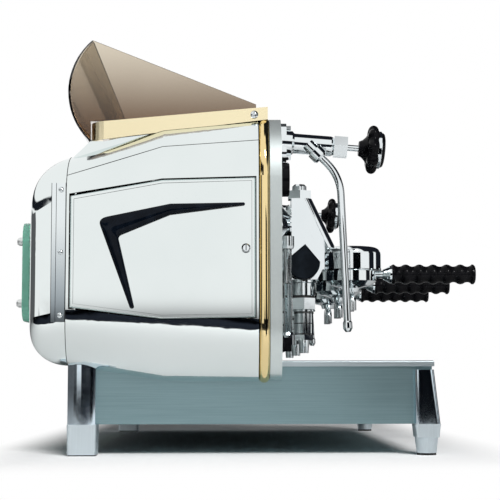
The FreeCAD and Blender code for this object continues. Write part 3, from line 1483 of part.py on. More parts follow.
knob = new_body("steam_knob")
knob_sketch = outline(knob, "knob_outline", "XZ", [
    (d.spindle_radius + 0.02, d.knob_start), (d.knob_hub_radius, d.knob_start),
    (d.knob_cap_radius, d.knob_start + d.knob_hub_length - 1),
    (d.knob_radius - 4, d.knob_start + d.knob_hub_length),
    (d.knob_radius, d.knob_start + d.knob_hub_length + 4), (d.knob_radius, knob_end - 6),
    (d.knob_radius - 4, knob_end - 1.5), (d.knob_cap_radius + 2, knob_end),
    (d.spindle_radius + 0.02, knob_end)])
knob_turn = knob.newObject("PartDesign::Revolution", "knob_turn")
knob_turn.Profile = knob_sketch
knob_turn.ReferenceAxis = (knob_sketch, ["V_Axis"])
knob_turn.Angle = 360
lobe_radius = d.knob_radius * 0.24
scallop_sketch = knob.newObject("Sketcher::SketchObject", "knob_scallop_outline")
knob_planes = [part for part in knob.Origin.OriginFeatures if part.Role == plane_roles["XY"]]
scallop_sketch.AttachmentSupport = [(knob_planes[0], "")]
scallop_sketch.MapMode = "FlatFace"
bind(scallop_sketch, "AttachmentOffset.Base.z", knob_end + 5)
scallop_sketch.addGeometry(Part.Circle(Vector(float(d.knob_radius) + 3, 0, 0), Vector(0, 0, 1),
                                       float(lobe_radius)),
                           False)
number = scallop_sketch.addConstraint(Sketcher.Constraint("DistanceX", -1, 1, 0, 3,
                                                          float(d.knob_radius) + 3))
scallop_sketch.setExpression(f"Constraints[{number}]", (d.knob_radius + 3).text)
scallop_sketch.addConstraint(Sketcher.Constraint("PointOnObject", 0, 3, -1))
number = scallop_sketch.addConstraint(Sketcher.Constraint("Radius", 0, float(lobe_radius)))
scallop_sketch.setExpression(f"Constraints[{number}]", lobe_radius.text)
scallop = knob.newObject("PartDesign::Pocket", "knob_scallop")
scallop.Profile = scallop_sketch
bind(scallop, "Length", d.knob_length + 20)
scallops = knob.newObject("PartDesign::PolarPattern", "knob_scallops")
scallops.Originals = [scallop]
scallops.Axis = (scallop_sketch, ["N_Axis"])
scallops.Angle = 360
bind(scallops, "Occurrences", d.knob_lobes)
knob.Tip = scallops
lean_from_panel(knob, as_size(0))
node("right_steam_knob", knob)
node("left_steam_knob", mirrored("left_steam_knob", knob))

# steam wands: a bent tube on a ball, with a screwed tip


def wand_points():
    slant = math.sqrt(0.5)
    y = float(out(d.ball_out))
    z = float(d.ball_level)
    x = float(valve_out + d.ball_side)
    lean_angle = math.radians(float(d.wand_lean))
    corner_reach = float(d.wand_lead) + float(d.wand_bend) * math.tan((math.pi / 4 - lean_angle) / 2)
    corner = Vector(x, y - corner_reach * slant, z - corner_reach * slant)
    drop = corner.z - float(d.wand_bottom)
    return [Vector(x, y, z), corner, Vector(x, corner.y - drop * math.tan(lean_angle),
                                            float(d.wand_bottom))]


wand_line = wand_points()
tube_end = wand_line[2] + (wand_line[1] - wand_line[2]).normalize() * (float(d.tip_length) / 2)
wand_tube = made("wand_tube",
                 bent_tube([*wand_line[:2], tube_end], float(d.wand_radius), float(d.wand_bend)))
wand_ball = doc.addObject("Part::Sphere", "wand_ball")
bind(wand_ball, "Radius", d.ball_radius)
at_ball(wand_ball)
tip = turned("wand_tip", [
    (0, 0), (d.tip_radius - 3, 0), (d.tip_radius - 1.5, 2), (d.tip_radius, 5),
    (d.tip_radius, d.tip_length - 2),
    (d.tip_radius - 1, d.tip_length), (0, d.tip_length)])
put(tip, *wand_line[2])
tip.Placement.Rotation = Rotation(Vector(1, 0, 0), -float(d.wand_lean))
wand = fuse("steam_wand", wand_tube, wand_ball, tip)
node("right_steam_wand", wand)
node("left_steam_wand", mirrored("left_steam_wand", wand))

# pressure gauge on the near end of the panel

gauge_place = (-valve_out, out(0), d.gauge_level)
glass_seat = d.gauge_depth - 4
node("gauge_case", turned("gauge_case", [
    (0, 0), (d.gauge_radius, 0), (d.gauge_radius, d.gauge_depth - 1.5),
    (d.gauge_radius - 1.5, d.gauge_depth),
    (d.gauge_radius - 3, d.gauge_depth), (d.gauge_radius - 3, glass_seat + 2),
    (d.gauge_radius - 2, glass_seat + 2),
    (d.gauge_radius - 2, glass_seat), (d.gauge_radius - 3, glass_seat), (d.gauge_radius - 3, d.gauge_wall),
    (d.needle_radius - 1, d.gauge_wall), (d.needle_radius - 1, d.gauge_wall + 4), (0, d.gauge_wall + 4)],
    gauge_place, "-Y"))
node("gauge_glass", turned("gauge_glass", [
    (0, glass_seat + 0.05), (d.gauge_radius - 2.1, glass_seat + 0.05),
    (d.gauge_radius - 2.1, glass_seat + 1.95),
    (0, glass_seat + 1.95)], gauge_place, "-Y"))
needle_hub = turned("needle_hub", [
    (d.needle_radius - 0.95, 1), (d.needle_radius, 1), (d.needle_radius, 2.6),
    (d.needle_radius - 0.95, 2.6)],
    gauge_place, "-Y")
bind(needle_hub, "Placement.Base.y", out(d.gauge_wall + 0.5))
pointer = padded("needle_pointer", "XZ", [
    (-valve_out - 0.8, d.gauge_level + d.needle_radius - 0.6),
    (-valve_out + 0.8, d.gauge_level + d.needle_radius - 0.6),
    (-valve_out + 0.3, d.gauge_level + d.gauge_radius - 8),
    (-valve_out - 0.3, d.gauge_level + d.gauge_radius - 8)],
    0.8, -out(d.gauge_wall + 1.9))
node("gauge_needle", fuse("gauge_needle", needle_hub, pointer))

# sight glass beside the near group

sight_y = out(d.sight_stand)


def sight_fitting(name, level, turn):
    block = turned(f"{name}_block", [
        (0, -9), (9.5, -9), (9.5, 5), (8, 9), (d.sight_radius + 0.2, 9), (d.sight_radius + 0.2, 3), (0, 3)],
        (-sight_out, sight_y, level), turn)
    stem = cylinder(f"{name}_stem", 6, d.sight_stand, (-sight_out, sight_y, level), "Y")
    root_nut = padded(f"{name}_nut", "XY", hexagon(as_size(18)), 5, 0)
    put(root_nut, -sight_out, out(5), level, "Y")
    bore = cylinder(f"{name}_bore", d.sight_radius + 0.2, 10,
                    (-sight_out, sight_y, level + (3 if turn == "Z" else -13)))
    return cut(name, fuse(f"{name}_blank", block, stem, root_nut), bore)


node("sight_glass_fittings", group("sight_glass_fittings", sight_fitting("sight_low", d.sight_bottom, "Z"),
                                   sight_fitting("sight_high", d.sight_top, "-Z")))
sight_rod = cylinder("sight_rod", d.sight_radius, d.sight_top - d.sight_bottom - 6,
                     (-sight_out, sight_y, d.sight_bottom + 3))
sight_bore = cylinder("sight_bore", d.sight_radius - 1.5, d.sight_top - d.sight_bottom,
                      (-sight_out, sight_y, d.sight_bottom))
node("sight_glass_tube", cut("sight_glass_tube", sight_rod, sight_bore))

# main switch: round knob with a grip bar

switch_skirt = turned("switch_skirt", [
    (0, 0.2), (d.switch_radius, 0.2), (d.switch_radius, 3), (d.switch_radius - 1, 6), (0, 6)],
    (-valve_out, out(0), d.switch_level), "-Y")
switch_bar = box("switch_bar", (7, d.switch_length - 3, d.switch_radius * 2 - 3),
                 (-valve_out - 3.5, out(d.switch_length), d.switch_level - d.switch_radius + 1.5))
node("main_switch", fuse("main_switch", switch_skirt, switch_bar))

# boiler with flanged ends, on the saddles

boiler_place = (0, back(d.boiler_back), d.boiler_level)
drum = turned("boiler_drum", [
    (d.boiler_radius - d.boiler_wall, -boiler_half), (d.boiler_radius, -boiler_half),
    (d.boiler_radius, boiler_half), (d.boiler_radius - d.boiler_wall, boiler_half)], boiler_place, "X")
far_end = turned("boiler_far_end", [
    (0, boiler_half), (d.end_radius, boiler_half), (d.end_radius, boiler_half + d.end_wall),
    (40, boiler_half + d.end_wall), (30, boiler_half + d.end_wall + 12),
    (0, boiler_half + d.end_wall + 12)],
    boiler_place, "X")
near_end = turned("boiler_near_end", [
    (0, -boiler_half), (d.end_radius, -boiler_half), (d.end_radius, -boiler_half - d.end_wall),
    (0, -boiler_half - d.end_wall)], boiler_place, "X")
ring_bolts = []
for corner in range(8):
    turn = math.radians(45 * corner + 22.5)
    reach = d.end_radius - 8
    bolt = padded(f"end_bolt_{corner + 1}", "XY", hexagon(as_size(13)), 8, 0)
    put(bolt, boiler_half + d.end_wall, back(d.boiler_back) + reach * math.cos(turn),
        d.boiler_level + reach * math.sin(turn), "X")
    ring_bolts.append(bolt)
node("boiler", group("boiler", drum, far_end, near_end, *ring_bolts,
                     *[mirrored(f"near_{bolt.Name}", bolt) for bolt in ring_bolts]))

element_flange = turned("element_flange", [
    (0, -boiler_half - d.end_wall), (34, -boiler_half - d.end_wall), (34, -boiler_half - d.end_wall - 8),
    (0, -boiler_half - d.end_wall - 8)], boiler_place, "X")
terminals = []
for number, shift in enumerate((-14, 0, 14), start=1):
    terminals.append(cylinder(f"element_terminal_{number}", 4, 20, (
        -boiler_half - d.end_wall - 26, back(d.boiler_back) + shift, d.boiler_level), "X"))
node("heating_element", fuse("heating_element", element_flange, *terminals))

safety = turned("safety_valve", [
    (0, 0), (9, 0), (9, 8), (12, 8), (12, 30), (7, 34), (7, 42), (0, 42)],
    (100, back(d.boiler_back), d.boiler_level + d.boiler_radius))
switch_can = turned("pressure_switch", [
    (0, 0), (7, 0), (7, 12), (24, 14), (24, 40), (0, 40)],
    (170, back(d.boiler_back), d.boiler_level + d.boiler_radius))
node("boiler_fittings", group("boiler_fittings", safety, switch_can))

# pump and motor on the base floor

floor_top = d.base_floor + d.base_wall
motor_x = as_size(30)
motor_z = floor_top + d.motor_radius + 12
motor_y = back(d.motor_back)
motor = cylinder("motor_can", d.motor_radius, d.motor_length, (motor_x, motor_y, motor_z), "X")
motor_foot = box("motor_foot", (d.motor_length - 40, d.motor_radius * 1.4, d.motor_radius),
                 (motor_x + 20, motor_y - d.motor_radius * 0.7, floor_top))
pump_can = cylinder("pump_can", d.pump_radius, d.pump_length, (motor_x - d.pump_length, motor_y, motor_z),
                    "X")
node("pump_motor", group("pump_motor", fuse("motor", motor, motor_foot), pump_can))

# pipework: group necks, steam pipes, drain and feed

pipes = []
for number, place in enumerate(group_places, start=1):
    pipe = cylinder(f"group_pipe_{number}", d.group_pipe_radius, d.boiler_back,
                    (place, back(0), d.neck_level), "Y")
    pipes.append(cut(f"group_pipe_end_{number}", pipe, boiler_space))


def steam_pipe(side):
    x = float(valve_out) * side
    y = float(back(0))
    middle = float(back(d.boiler_back))
    top = float(d.boiler_level + d.boiler_radius)
    level = float(d.valve_level)
    start = 230.0 * side
    return bent_tube([
        Vector(x, y, level), Vector(x, y + 70, level), Vector(start, y + 70, top + 28.0),
        Vector(start, middle, top + 28.0), Vector(start, middle, top - 1.0)], float(d.pipe_radius), 14.0)


for number, side in enumerate((-1, 1), start=1):
    pipes.append(cut(f"steam_pipe_end_{number}", made(f"steam_pipe_{number}", steam_pipe(side)),
                     boiler_space))
feed_x = float(motor_x - d.pump_length / 2)
feed_y = float(back(d.boiler_back + d.boiler_radius)) + 28.0
pipes.append(made("feed_pipe", bent_tube([
    Vector(feed_x, float(motor_y + d.pump_radius) + 0.3, float(motor_z)),
    Vector(feed_x, feed_y, float(motor_z)),
    Vector(feed_x, feed_y, float(d.boiler_level)),
    Vector(feed_x, float(back(d.boiler_back + d.boiler_radius)) + 0.4, float(d.boiler_level))],
    float(d.pipe_radius), 12.0)))
node("pipework", group("pipework", *pipes))

# control box at the far end and the service fittings through the rear of the base

box_x = boiler_half + d.end_wall + 16
box_corner = (box_x, back(40), floor_top)
box_shell = cut("box_shell", box("box_outer", (d.box_width - 2, d.box_depth, d.box_height), box_corner),
                box("box_inner", (d.box_width, d.box_depth - 4, d.box_height - 4),
                    (box_x + 2, back(42), floor_top + 2)))
box_lid = box("box_lid", (2, d.box_depth, d.box_height), (box_x + d.box_width - 2, back(40), floor_top))
node("control_box", group("control_box", box_shell, box_lid))


def bulkhead(name, place, free_end):
    # a fitting held in the rear wall of the base by a collar on each side
    return turned(name, [
        (0, -d.base_wall - 10), (14, -d.base_wall - 10), (14, -d.base_wall),
        (d.inlet_radius + 0.5, -d.base_wall),
        (d.inlet_radius + 0.5, 0), (14, 0), (14, 4), *free_end],
        (place, back(d.base_back), d.service_level), "Y")


hose_end = [(d.inlet_radius, 4), (d.inlet_radius, 4 + d.inlet_length), (0, 4 + d.inlet_length)]
gland_end = [(12.5, 5), (12.5, 9), (8, 15), (4, 15), (4, 6), (0, 6)]
ends = (hose_end, hose_end, gland_end)
fittings = [bulkhead(name, place, end) for name, place, end in zip(service_names, service_x, ends)]
node("service_fittings", group("service_fittings", *fittings))

# check and write every piece

doc.recompute()
for item in doc.Objects:
    if "Invalid" in item.State or "Error" in item.State:
        raise RuntimeError(f"{item.Label} did not build")
os.makedirs("parts", exist_ok=True)
for label, item in nodes.items():
    shape = item.Shape
    if shape.isNull() or not shape.isValid() or not shape.Solids:
        raise RuntimeError(f"{label} has no sound shape")
    shape.exportStep(f"parts/{label}.step")
    print(label, len(shape.Solids), round(shape.Volume))
print(len(nodes), "pieces written")
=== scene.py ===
import json
import math

import bmesh
import bpy
from mathutils import Matrix, Vector

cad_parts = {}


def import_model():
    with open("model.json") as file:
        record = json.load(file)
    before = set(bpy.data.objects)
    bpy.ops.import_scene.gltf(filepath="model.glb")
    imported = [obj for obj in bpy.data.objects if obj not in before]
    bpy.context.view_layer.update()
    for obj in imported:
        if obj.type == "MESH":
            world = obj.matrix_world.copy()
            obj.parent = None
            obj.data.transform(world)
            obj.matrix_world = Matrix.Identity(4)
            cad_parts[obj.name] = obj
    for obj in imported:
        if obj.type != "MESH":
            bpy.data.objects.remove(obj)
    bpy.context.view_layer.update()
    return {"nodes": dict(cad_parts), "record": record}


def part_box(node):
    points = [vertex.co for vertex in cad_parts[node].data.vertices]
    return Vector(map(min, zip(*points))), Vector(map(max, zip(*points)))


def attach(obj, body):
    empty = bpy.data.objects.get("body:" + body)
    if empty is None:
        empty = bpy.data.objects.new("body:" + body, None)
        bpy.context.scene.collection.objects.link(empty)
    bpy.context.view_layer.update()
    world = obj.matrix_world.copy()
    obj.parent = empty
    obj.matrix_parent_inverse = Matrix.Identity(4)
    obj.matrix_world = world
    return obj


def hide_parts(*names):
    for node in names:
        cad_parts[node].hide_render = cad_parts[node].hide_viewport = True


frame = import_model()
nodes = frame["nodes"]
joints = {joint["name"]: joint for joint in frame["record"]["behaviour"]["joints"]}
print("loaded", len(nodes), "nodes")


class Sock:
    # wraps a node socket so that values can be added, scaled and compared as plain sums
    def __init__(self, tree, socket):
        self.tree = tree
        self.socket = socket

    def math(self, operation, other=None, swap=False):
        node = self.tree.nodes.new("ShaderNodeMath")
        node.operation = operation
        first, second = (1, 0) if swap else (0, 1)
        self.tree.links.new(self.socket, node.inputs[first])
        if isinstance(other, Sock):
            self.tree.links.new(other.socket, node.inputs[second])
        elif other is not None:
            node.inputs[second].default_value = other
        return Sock(self.tree, node.outputs[0])

    def __add__(self, other):
        return self.math("ADD", other)

    def __sub__(self, other):
        return self.math("SUBTRACT", other)

    def __mul__(self, other):
        return self.math("MULTIPLY", other)

    def __truediv__(self, other):
        return self.math("DIVIDE", other)

    def __pow__(self, other):
        return self.math("POWER", other)

    def __lt__(self, other):
        return self.math("LESS_THAN", other)

    def __gt__(self, other):
        return self.math("GREATER_THAN", other)

    def __abs__(self):
        return self.math("ABSOLUTE")

    def __radd__(self, other):
        return self.math("ADD", other, True)

    def __rsub__(self, other):
        return self.math("SUBTRACT", other, True)

    def most(self, other):
        return self.math("MAXIMUM", other)

    def least(self, other):
        return self.math("MINIMUM", other)

    def step(self, low, high):
        return makeNode(self.tree, "ShaderNodeMapRange", {"clamp": True, "interpolation_type": "SMOOTHSTEP"},
                        {"Value": self, "From Min": low, "From Max": high})

    def out(self, name):
        return Sock(self.tree, self.socket.node.outputs[name])


def makeNode(tree, kind, settings=None, inputs=None):
    # a new node with its settings and inputs; what comes back is its first output
    node = tree.nodes.new(kind)
    for name, value in (settings or {}).items():
        setattr(node, name, value)
    for name, value in (inputs or {}).items():
        socket = node.inputs[name]
        if isinstance(value, Sock):
            tree.links.new(value.socket, socket)
        else:
            socket.default_value = value
    return Sock(tree, node.outputs[0])


def newMaterial(name):
    material = bpy.data.materials.new(name)
    material.use_nodes = True
    tree = material.node_tree
    shader = next(node for node in tree.nodes if node.type == "BSDF_PRINCIPLED")
    return material, tree, shader


def feed(tree, shader, name, value):
    tree.links.new(value.socket, shader.inputs[name])


def objectPlace(tree, scale=(1, 1, 1)):
    place = makeNode(tree, "ShaderNodeTexCoord").out("Object")
    return makeNode(tree, "ShaderNodeMapping", {"vector_type": "POINT"}, {"Vector": place, "Scale": scale})


def split(tree, place):
    # parts a place into its X, Y and Z, which out gives by name
    return makeNode(tree, "ShaderNodeSeparateXYZ", {}, {"Vector": place})


def objectAxes(tree):
    return split(tree, makeNode(tree, "ShaderNodeTexCoord").out("Object"))


def join(tree, **axes):
    # a place or an angle from its X, Y and Z; what is not named is zero
    return makeNode(tree, "ShaderNodeCombineXYZ", {}, axes)


def noise(tree, place, scale, detail=3.0, rough=0.5):
    return makeNode(tree, "ShaderNodeTexNoise", {}, {"Vector": place, "Scale": scale, "Detail": detail,
                                                     "Roughness": rough})


def mixColour(tree, factor, first, second):
    node = tree.nodes.new("ShaderNodeMix")
    node.data_type = "RGBA"
    for index, value in ((0, factor), (6, first), (7, second)):
        if isinstance(value, Sock):
            tree.links.new(value.socket, node.inputs[index])
        else:
            node.inputs[index].default_value = (*value, 1)
    return Sock(tree, node.outputs[2])


def mixShader(tree, factor, first, second):
    node = tree.nodes.new("ShaderNodeMixShader")
    tree.links.new(factor.socket, node.inputs[0])
    tree.links.new(first.socket, node.inputs[1])
    tree.links.new(second.socket, node.inputs[2])
    return Sock(tree, node.outputs[0])


def bump(tree, height, strength, distance):
    return makeNode(tree, "ShaderNodeBump", {}, {"Height": height, "Strength": strength,
                                                 "Distance": distance})


# polished sheet: wipe marks along X, a soft cloud in the tone, and the colour of drawn lines
polish = {"wipeStretch": (3, 22, 22), "wipeScale": 6.0, "wipeDetail": 4.0, "wipeSpan": (0.35, 0.8),
          "cloudScale": 9.0, "cloudSpan": (0.3, 0.75), "line": (0.02, 0.023, 0.028), "lineSmear": 0.03}


def polishedMetal(name, light, dark, rough, smear):
    # mirror polish with faint wipe marks
    material, tree, shader = newMaterial(name)
    wipe = noise(tree, objectPlace(tree, polish["wipeStretch"]), polish["wipeScale"], polish["wipeDetail"])
    cloud = noise(tree, objectPlace(tree), polish["cloudScale"])
    feed(tree, shader, "Base Color", mixColour(tree, cloud.step(*polish["cloudSpan"]), light, dark))
    shader.inputs["Metallic"].default_value = 1.0
    feed(tree, shader, "Roughness", wipe.step(*polish["wipeSpan"]) * smear + rough)
    return material


def linedMetal(name, light, dark, rough, lines, fade=None):
    # polished sheet with dark lines where its place along an axis, either side of the middle, is within
    # a band; the optional last argument paints shade: a darker tint low on the sheet, with the levels between
    # which it goes over into the first tint
    material, tree, shader = newMaterial(name)
    axes = objectAxes(tree)
    cloud = noise(tree, objectPlace(tree), polish["cloudScale"])
    tone = mixColour(tree, cloud.step(*polish["cloudSpan"]), light, dark)
    # painted shade: below the given levels the sheet takes the darker tint
    if fade:
        tint, *levels = fade
        tone = mixColour(tree, axes.out("Z").step(*levels), tint, tone)
    for axis, low, high in lines:
        place = abs(axes.out(axis))
        tone = mixColour(tree, (place > low) * (place < high), tone, polish["line"])
    feed(tree, shader, "Base Color", tone)
    shader.inputs["Metallic"].default_value = 1.0
    feed(tree, shader, "Roughness", cloud * polish["lineSmear"] + rough)
    return material


# brushed sheet: scratches that are long on one axis and fine on the others
brush = {"fine": 900.0, "long": 9.0, "detail": 5.0, "rough": 0.65, "span": (0.3, 0.7), "cloudScale": 5.0,
         "cloudDetail": 2.0, "lineShare": 0.75, "cloudShare": 0.25, "smear": 0.16, "distance": 0.001}


def brushedMetal(name, light, dark, rough, along, depth):
    # long fine scratches along one axis
    material, tree, shader = newMaterial(name)
    stretch = [brush["long"] if axis == along else brush["fine"] for axis in "XYZ"]
    lines = noise(tree, objectPlace(tree, stretch), 1.0, brush["detail"], brush["rough"])
    cloud = noise(tree, objectPlace(tree), brush["cloudScale"], brush["cloudDetail"])
    tone = lines.step(*brush["span"]) * brush["lineShare"] + cloud * brush["cloudShare"]
    feed(tree, shader, "Base Color", mixColour(tree, tone, dark, light))
    shader.inputs["Metallic"].default_value = 1.0
    feed(tree, shader, "Roughness", lines * brush["smear"] + rough)
    feed(tree, shader, "Normal", bump(tree, lines, depth, brush["distance"]))
    return material


# moulded resin: a cloud between the colour and a lighter one, and a fine orange peel
moulding = {"cloudScale": 60.0, "cloudSpan": (0.35, 0.75), "liftTimes": 1.8, "liftBy": 0.0012, "smear": 0.08,
            "gloss": 0.02, "coatRough": 0.05, "peelScale": 900.0, "peelDetail": 2.0, "peelDepth": 0.02,
            "peelDistance": 0.0005}


def mouldedResin(name, colour, rough, sheen):
    # moulded resin with a thin gloss skin and a fine orange peel
    material, tree, shader = newMaterial(name)
    cloud = noise(tree, objectPlace(tree), moulding["cloudScale"])
    fine = noise(tree, objectPlace(tree), moulding["peelScale"], moulding["peelDetail"])
    lift = tuple(channel * moulding["liftTimes"] + moulding["liftBy"] for channel in colour)
    feed(tree, shader, "Base Color", mixColour(tree, cloud.step(*moulding["cloudSpan"]), colour, lift))
    feed(tree, shader, "Roughness", cloud * moulding["smear"] + rough)
    shader.inputs["Specular IOR Level"].default_value = moulding["gloss"]
    shader.inputs["Coat Weight"].default_value = sheen
    shader.inputs["Coat Roughness"].default_value = moulding["coatRough"]
    feed(tree, shader, "Normal", bump(tree, fine, moulding["peelDepth"], moulding["peelDistance"]))
    return material


# see-through sheet: how uneven its tint and its surface are
clear = {"cloudScale": 12.0, "cloudDetail": 2.0, "deepTimes": 0.9, "smear": 0.02}


def clearSheet(name, colour, rough=0.02, through=1.0, ior=1.47, deeper=None):
    # see-through sheet with a slightly uneven tint; deeper gives a second tint and the levels it fades
    # between
    material, tree, shader = newMaterial(name)
    cloud = noise(tree, objectPlace(tree), clear["cloudScale"], clear["cloudDetail"])
    tint = mixColour(tree, cloud, colour, tuple(channel * clear["deepTimes"] for channel in colour))
    if deeper:
        lowTint, *levels = deeper
        tint = mixColour(tree, objectAxes(tree).out("Z").step(*levels), lowTint, tint)
    feed(tree, shader, "Base Color", tint)
    feed(tree, shader, "Roughness", cloud * clear["smear"] + rough)
    shader.inputs["Transmission Weight"].default_value = through
    shader.inputs["IOR"].default_value = ior
    return material


# printed card or paint: the grain of its worn spots
paint = {"grainScale": 700.0, "span": (0.45, 0.8), "wornTimes": 0.86, "wornBy": 0.01, "smear": 0.1,
         "rough": 0.5}


def printedFace(name, colour):
    # printed card or paint with a faint grain
    material, tree, shader = newMaterial(name)
    grain = noise(tree, objectPlace(tree), paint["grainScale"])
    worn = tuple(channel * paint["wornTimes"] + paint["wornBy"] for channel in colour)
    feed(tree, shader, "Base Color", mixColour(tree, grain.step(*paint["span"]), colour, worn))
    feed(tree, shader, "Roughness", grain * paint["smear"] + paint["rough"])
    return material


# each finish as its function and what that is given: tints first, then roughness and the rest
recipes = {
    "bodySteel": (polishedMetal, (0.80, 0.85, 0.845), (0.77, 0.825, 0.82), 0.03, 0.03),
    "chrome": (polishedMetal, (0.80, 0.845, 0.86), (0.75, 0.80, 0.82), 0.035, 0.04),
    "legSteel": (polishedMetal, (0.72, 0.83, 0.90), (0.66, 0.77, 0.85), 0.07, 0.03),
    "baseSteel": (brushedMetal, (0.285, 0.415, 0.445), (0.235, 0.35, 0.375), 0.30, "Y", 0.03),
    "rimSteel": (brushedMetal, (0.60, 0.68, 0.71), (0.48, 0.55, 0.58), 0.34, "Y", 0.03),
    "panelSteel": (brushedMetal, (0.74, 0.80, 0.79), (0.64, 0.70, 0.70), 0.28, "X", 0.06),
    "brassTube": (polishedMetal, (0.90, 0.72, 0.38), (0.87, 0.68, 0.34), 0.07, 0.0),
    "railGold": (polishedMetal, (0.98, 0.87, 0.58), (0.97, 0.855, 0.565), 0.20, 0.0),
    "copper": (polishedMetal, (0.75, 0.42, 0.27), (0.55, 0.28, 0.18), 0.25, 0.2),
    "blackGloss": (mouldedResin, (0.0020, 0.0020, 0.0025), 0.14, 0.11),
    "bladeGloss": (mouldedResin, (0.001, 0.002, 0.004), 0.10, 0.16),
    "blackSatin": (mouldedResin, (0.0025, 0.004, 0.006), 0.26, 0.08),
    "doorSteel": (linedMetal, (0.80, 0.85, 0.845), (0.77, 0.825, 0.82), 0.03, [("X", 0.4674, 0.4683)]),
    "lockSteel": (linedMetal, (0.80, 0.845, 0.86), (0.75, 0.80, 0.82), 0.035, [("X", 0.4746, 0.4752)]),
    # the seam strips carry painted shade: they go darker towards the bottom
    "stripSteel": (linedMetal, (0.80, 0.85, 0.86), (0.76, 0.81, 0.83), 0.05,
                   [("Y", 0.2498, 0.2509), ("Y", 0.2628, 0.2636), ("Y", 0.2690, 0.2702)],
                   ((0.34, 0.39, 0.42), 0.19, 0.33)),
    "footGrey": (brushedMetal, (0.74, 0.82, 0.86), (0.66, 0.74, 0.78), 0.42, "Z", 0.02),
    "rubber": (mouldedResin, (0.02, 0.02, 0.02), 0.7, 0.0),
    "smoked": (clearSheet, (0.74, 0.66, 0.53), 0.02, 1.0, 1.47, ((0.12, 0.058, 0.022), 0.43, 0.585)),
    "greenGlass": (clearSheet, (0.42, 0.97, 0.78), 0.12, 0.55),
    "clearGlass": (clearSheet, (0.95, 0.97, 0.97)),
    "paleCap": (brushedMetal, (0.86, 0.88, 0.87), (0.78, 0.80, 0.80), 0.3, "Y", 0.02),
    "motorGrey": (mouldedResin, (0.16, 0.17, 0.18), 0.45, 0.0),
    "dialCard": (printedFace, (0.80, 0.79, 0.75)),
    "inkBlack": (printedFace, (0.015, 0.015, 0.016)),
    "inkGreen": (printedFace, (0.05, 0.32, 0.13)),
    "inkRed": (printedFace, (0.55, 0.04, 0.03)),
    "boilerWater": (clearSheet, (0.80, 0.90, 0.93), 0.0, 1.0, 1.33),
}
finish = {name: make(name, *given) for name, (make, *given) in recipes.items()}

wornBy = {
    "bodySteel": ["right_shell", "left_shell", "top_cover", "rear_cover", "cup_tray"],
    "doorSteel": ["right_door", "left_door"],
    "legSteel": ["legs"],
    "rimSteel": ["tray_rim"],
    "chrome": ["drip_grid", "group_nuts", "group_chambers", "portafilter_1", "portafilter_2", "portafilter_3",
               "steam_valves", "right_steam_spindle", "left_steam_spindle", "right_steam_wand",
               "left_steam_wand", "sight_glass_fittings", "cover_screws", "group_bodies", "shower_screens"],
    "lockSteel": ["right_door_lock", "left_door_lock"],
    "stripSteel": ["seam_strips"],
    "baseSteel": ["base_frame", "drip_pan", "control_box"],
    "panelSteel": ["front_panel"],
    "brassTube": ["trim_ring", "boiler_fittings", "service_fittings"],
    "railGold": ["cup_rail"],
    "copper": ["boiler", "pipework", "heating_element"],
    "blackGloss": ["portafilter_handle_1", "portafilter_handle_2", "portafilter_handle_3", "right_steam_knob",
                   "left_steam_knob", "right_door_trim", "left_door_trim", "main_switch", "gauge_case"],
    "inkRed": ["gauge_needle"],
    "blackSatin": ["lever_1", "lever_2", "lever_3"],
    "footGrey": ["feet"],
    "rubber": ["foot_pads", "group_gaskets"],
    "smoked": ["cup_guard"],
    "greenGlass": ["rear_glass"],
    "clearGlass": ["gauge_glass", "sight_glass_tube"],
    "paleCap": ["glass_spacers"],
    "motorGrey": ["pump_motor"],
}
for finishName, members in wornBy.items():
    for member in members:
        mesh = nodes[member].data
        mesh.materials.clear()
        mesh.materials.append(finish[finishName])
print("finishes on", sum(len(members) for members in wornBy.values()), "nodes")


# lengths below which points are one point, or lie on the axis of a lathe, and the usual angle in degrees
# above which an edge stays hard
meshing = {"weld": 1e-6, "onAxis": 1e-7, "sharp": 35.0}


def closeMesh(shape, name, sharp):
    # welds, faces outwards and shades smooth up to the sharp angle
    bmesh.ops.remove_doubles(shape, verts=shape.verts, dist=meshing["weld"])
    bmesh.ops.recalc_face_normals(shape, faces=shape.faces)
    mesh = bpy.data.meshes.new(name)
    shape.to_mesh(mesh)
    shape.free()
    mesh.shade_smooth()
    mesh.set_sharp_from_angle(angle=math.radians(sharp))
    return mesh


def addPiece(name, shape, material, body, replaced=(), sharp=meshing["sharp"]):
    # closes a shape and makes it one piece that rides with a body, hiding the parts it replaces
    mesh = closeMesh(shape, name, sharp)
    mesh.materials.clear()
    mesh.materials.append(finish[material])
    piece = bpy.data.objects.new(name, mesh)
    bpy.context.scene.collection.objects.link(piece)
    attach(piece, body)
    if replaced:
        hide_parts(*replaced)


def stitch(shape, low, high):
    # faces between two rings of the same count
    for index in range(len(low)):
        after = (index + 1) % len(low)
        shape.faces.new((low[index], low[after], high[after], high[index]))


def turnTo(axis):
    # the turn that brings +Z to an axis
    return Vector((0, 0, 1)).rotation_difference(Vector(axis).normalized()).to_matrix()


def latheInto(shape, profile, place, axis, around=48):
    # turns (radius, height) pairs round an axis
    turn = turnTo(axis)
    rings = []
    for radius, height in profile:
        ring = []
        for index in range(1 if radius < meshing["onAxis"] else around):
            angle = 2 * math.pi * index / around
            point = Vector((radius * math.cos(angle), radius * math.sin(angle), height))
            ring.append(shape.verts.new(Vector(place) + turn @ point))
        rings.append(ring)
    for low, high in zip(rings, rings[1:]):
        for index in range(around):
            after = (index + 1) % around
            corners = [low[index % len(low)], low[after % len(low)]]
            corners += [high[after % len(high)], high[index % len(high)]]
            corners = list(dict.fromkeys(corners))
            if len(corners) > 2:
                shape.faces.new(corners)


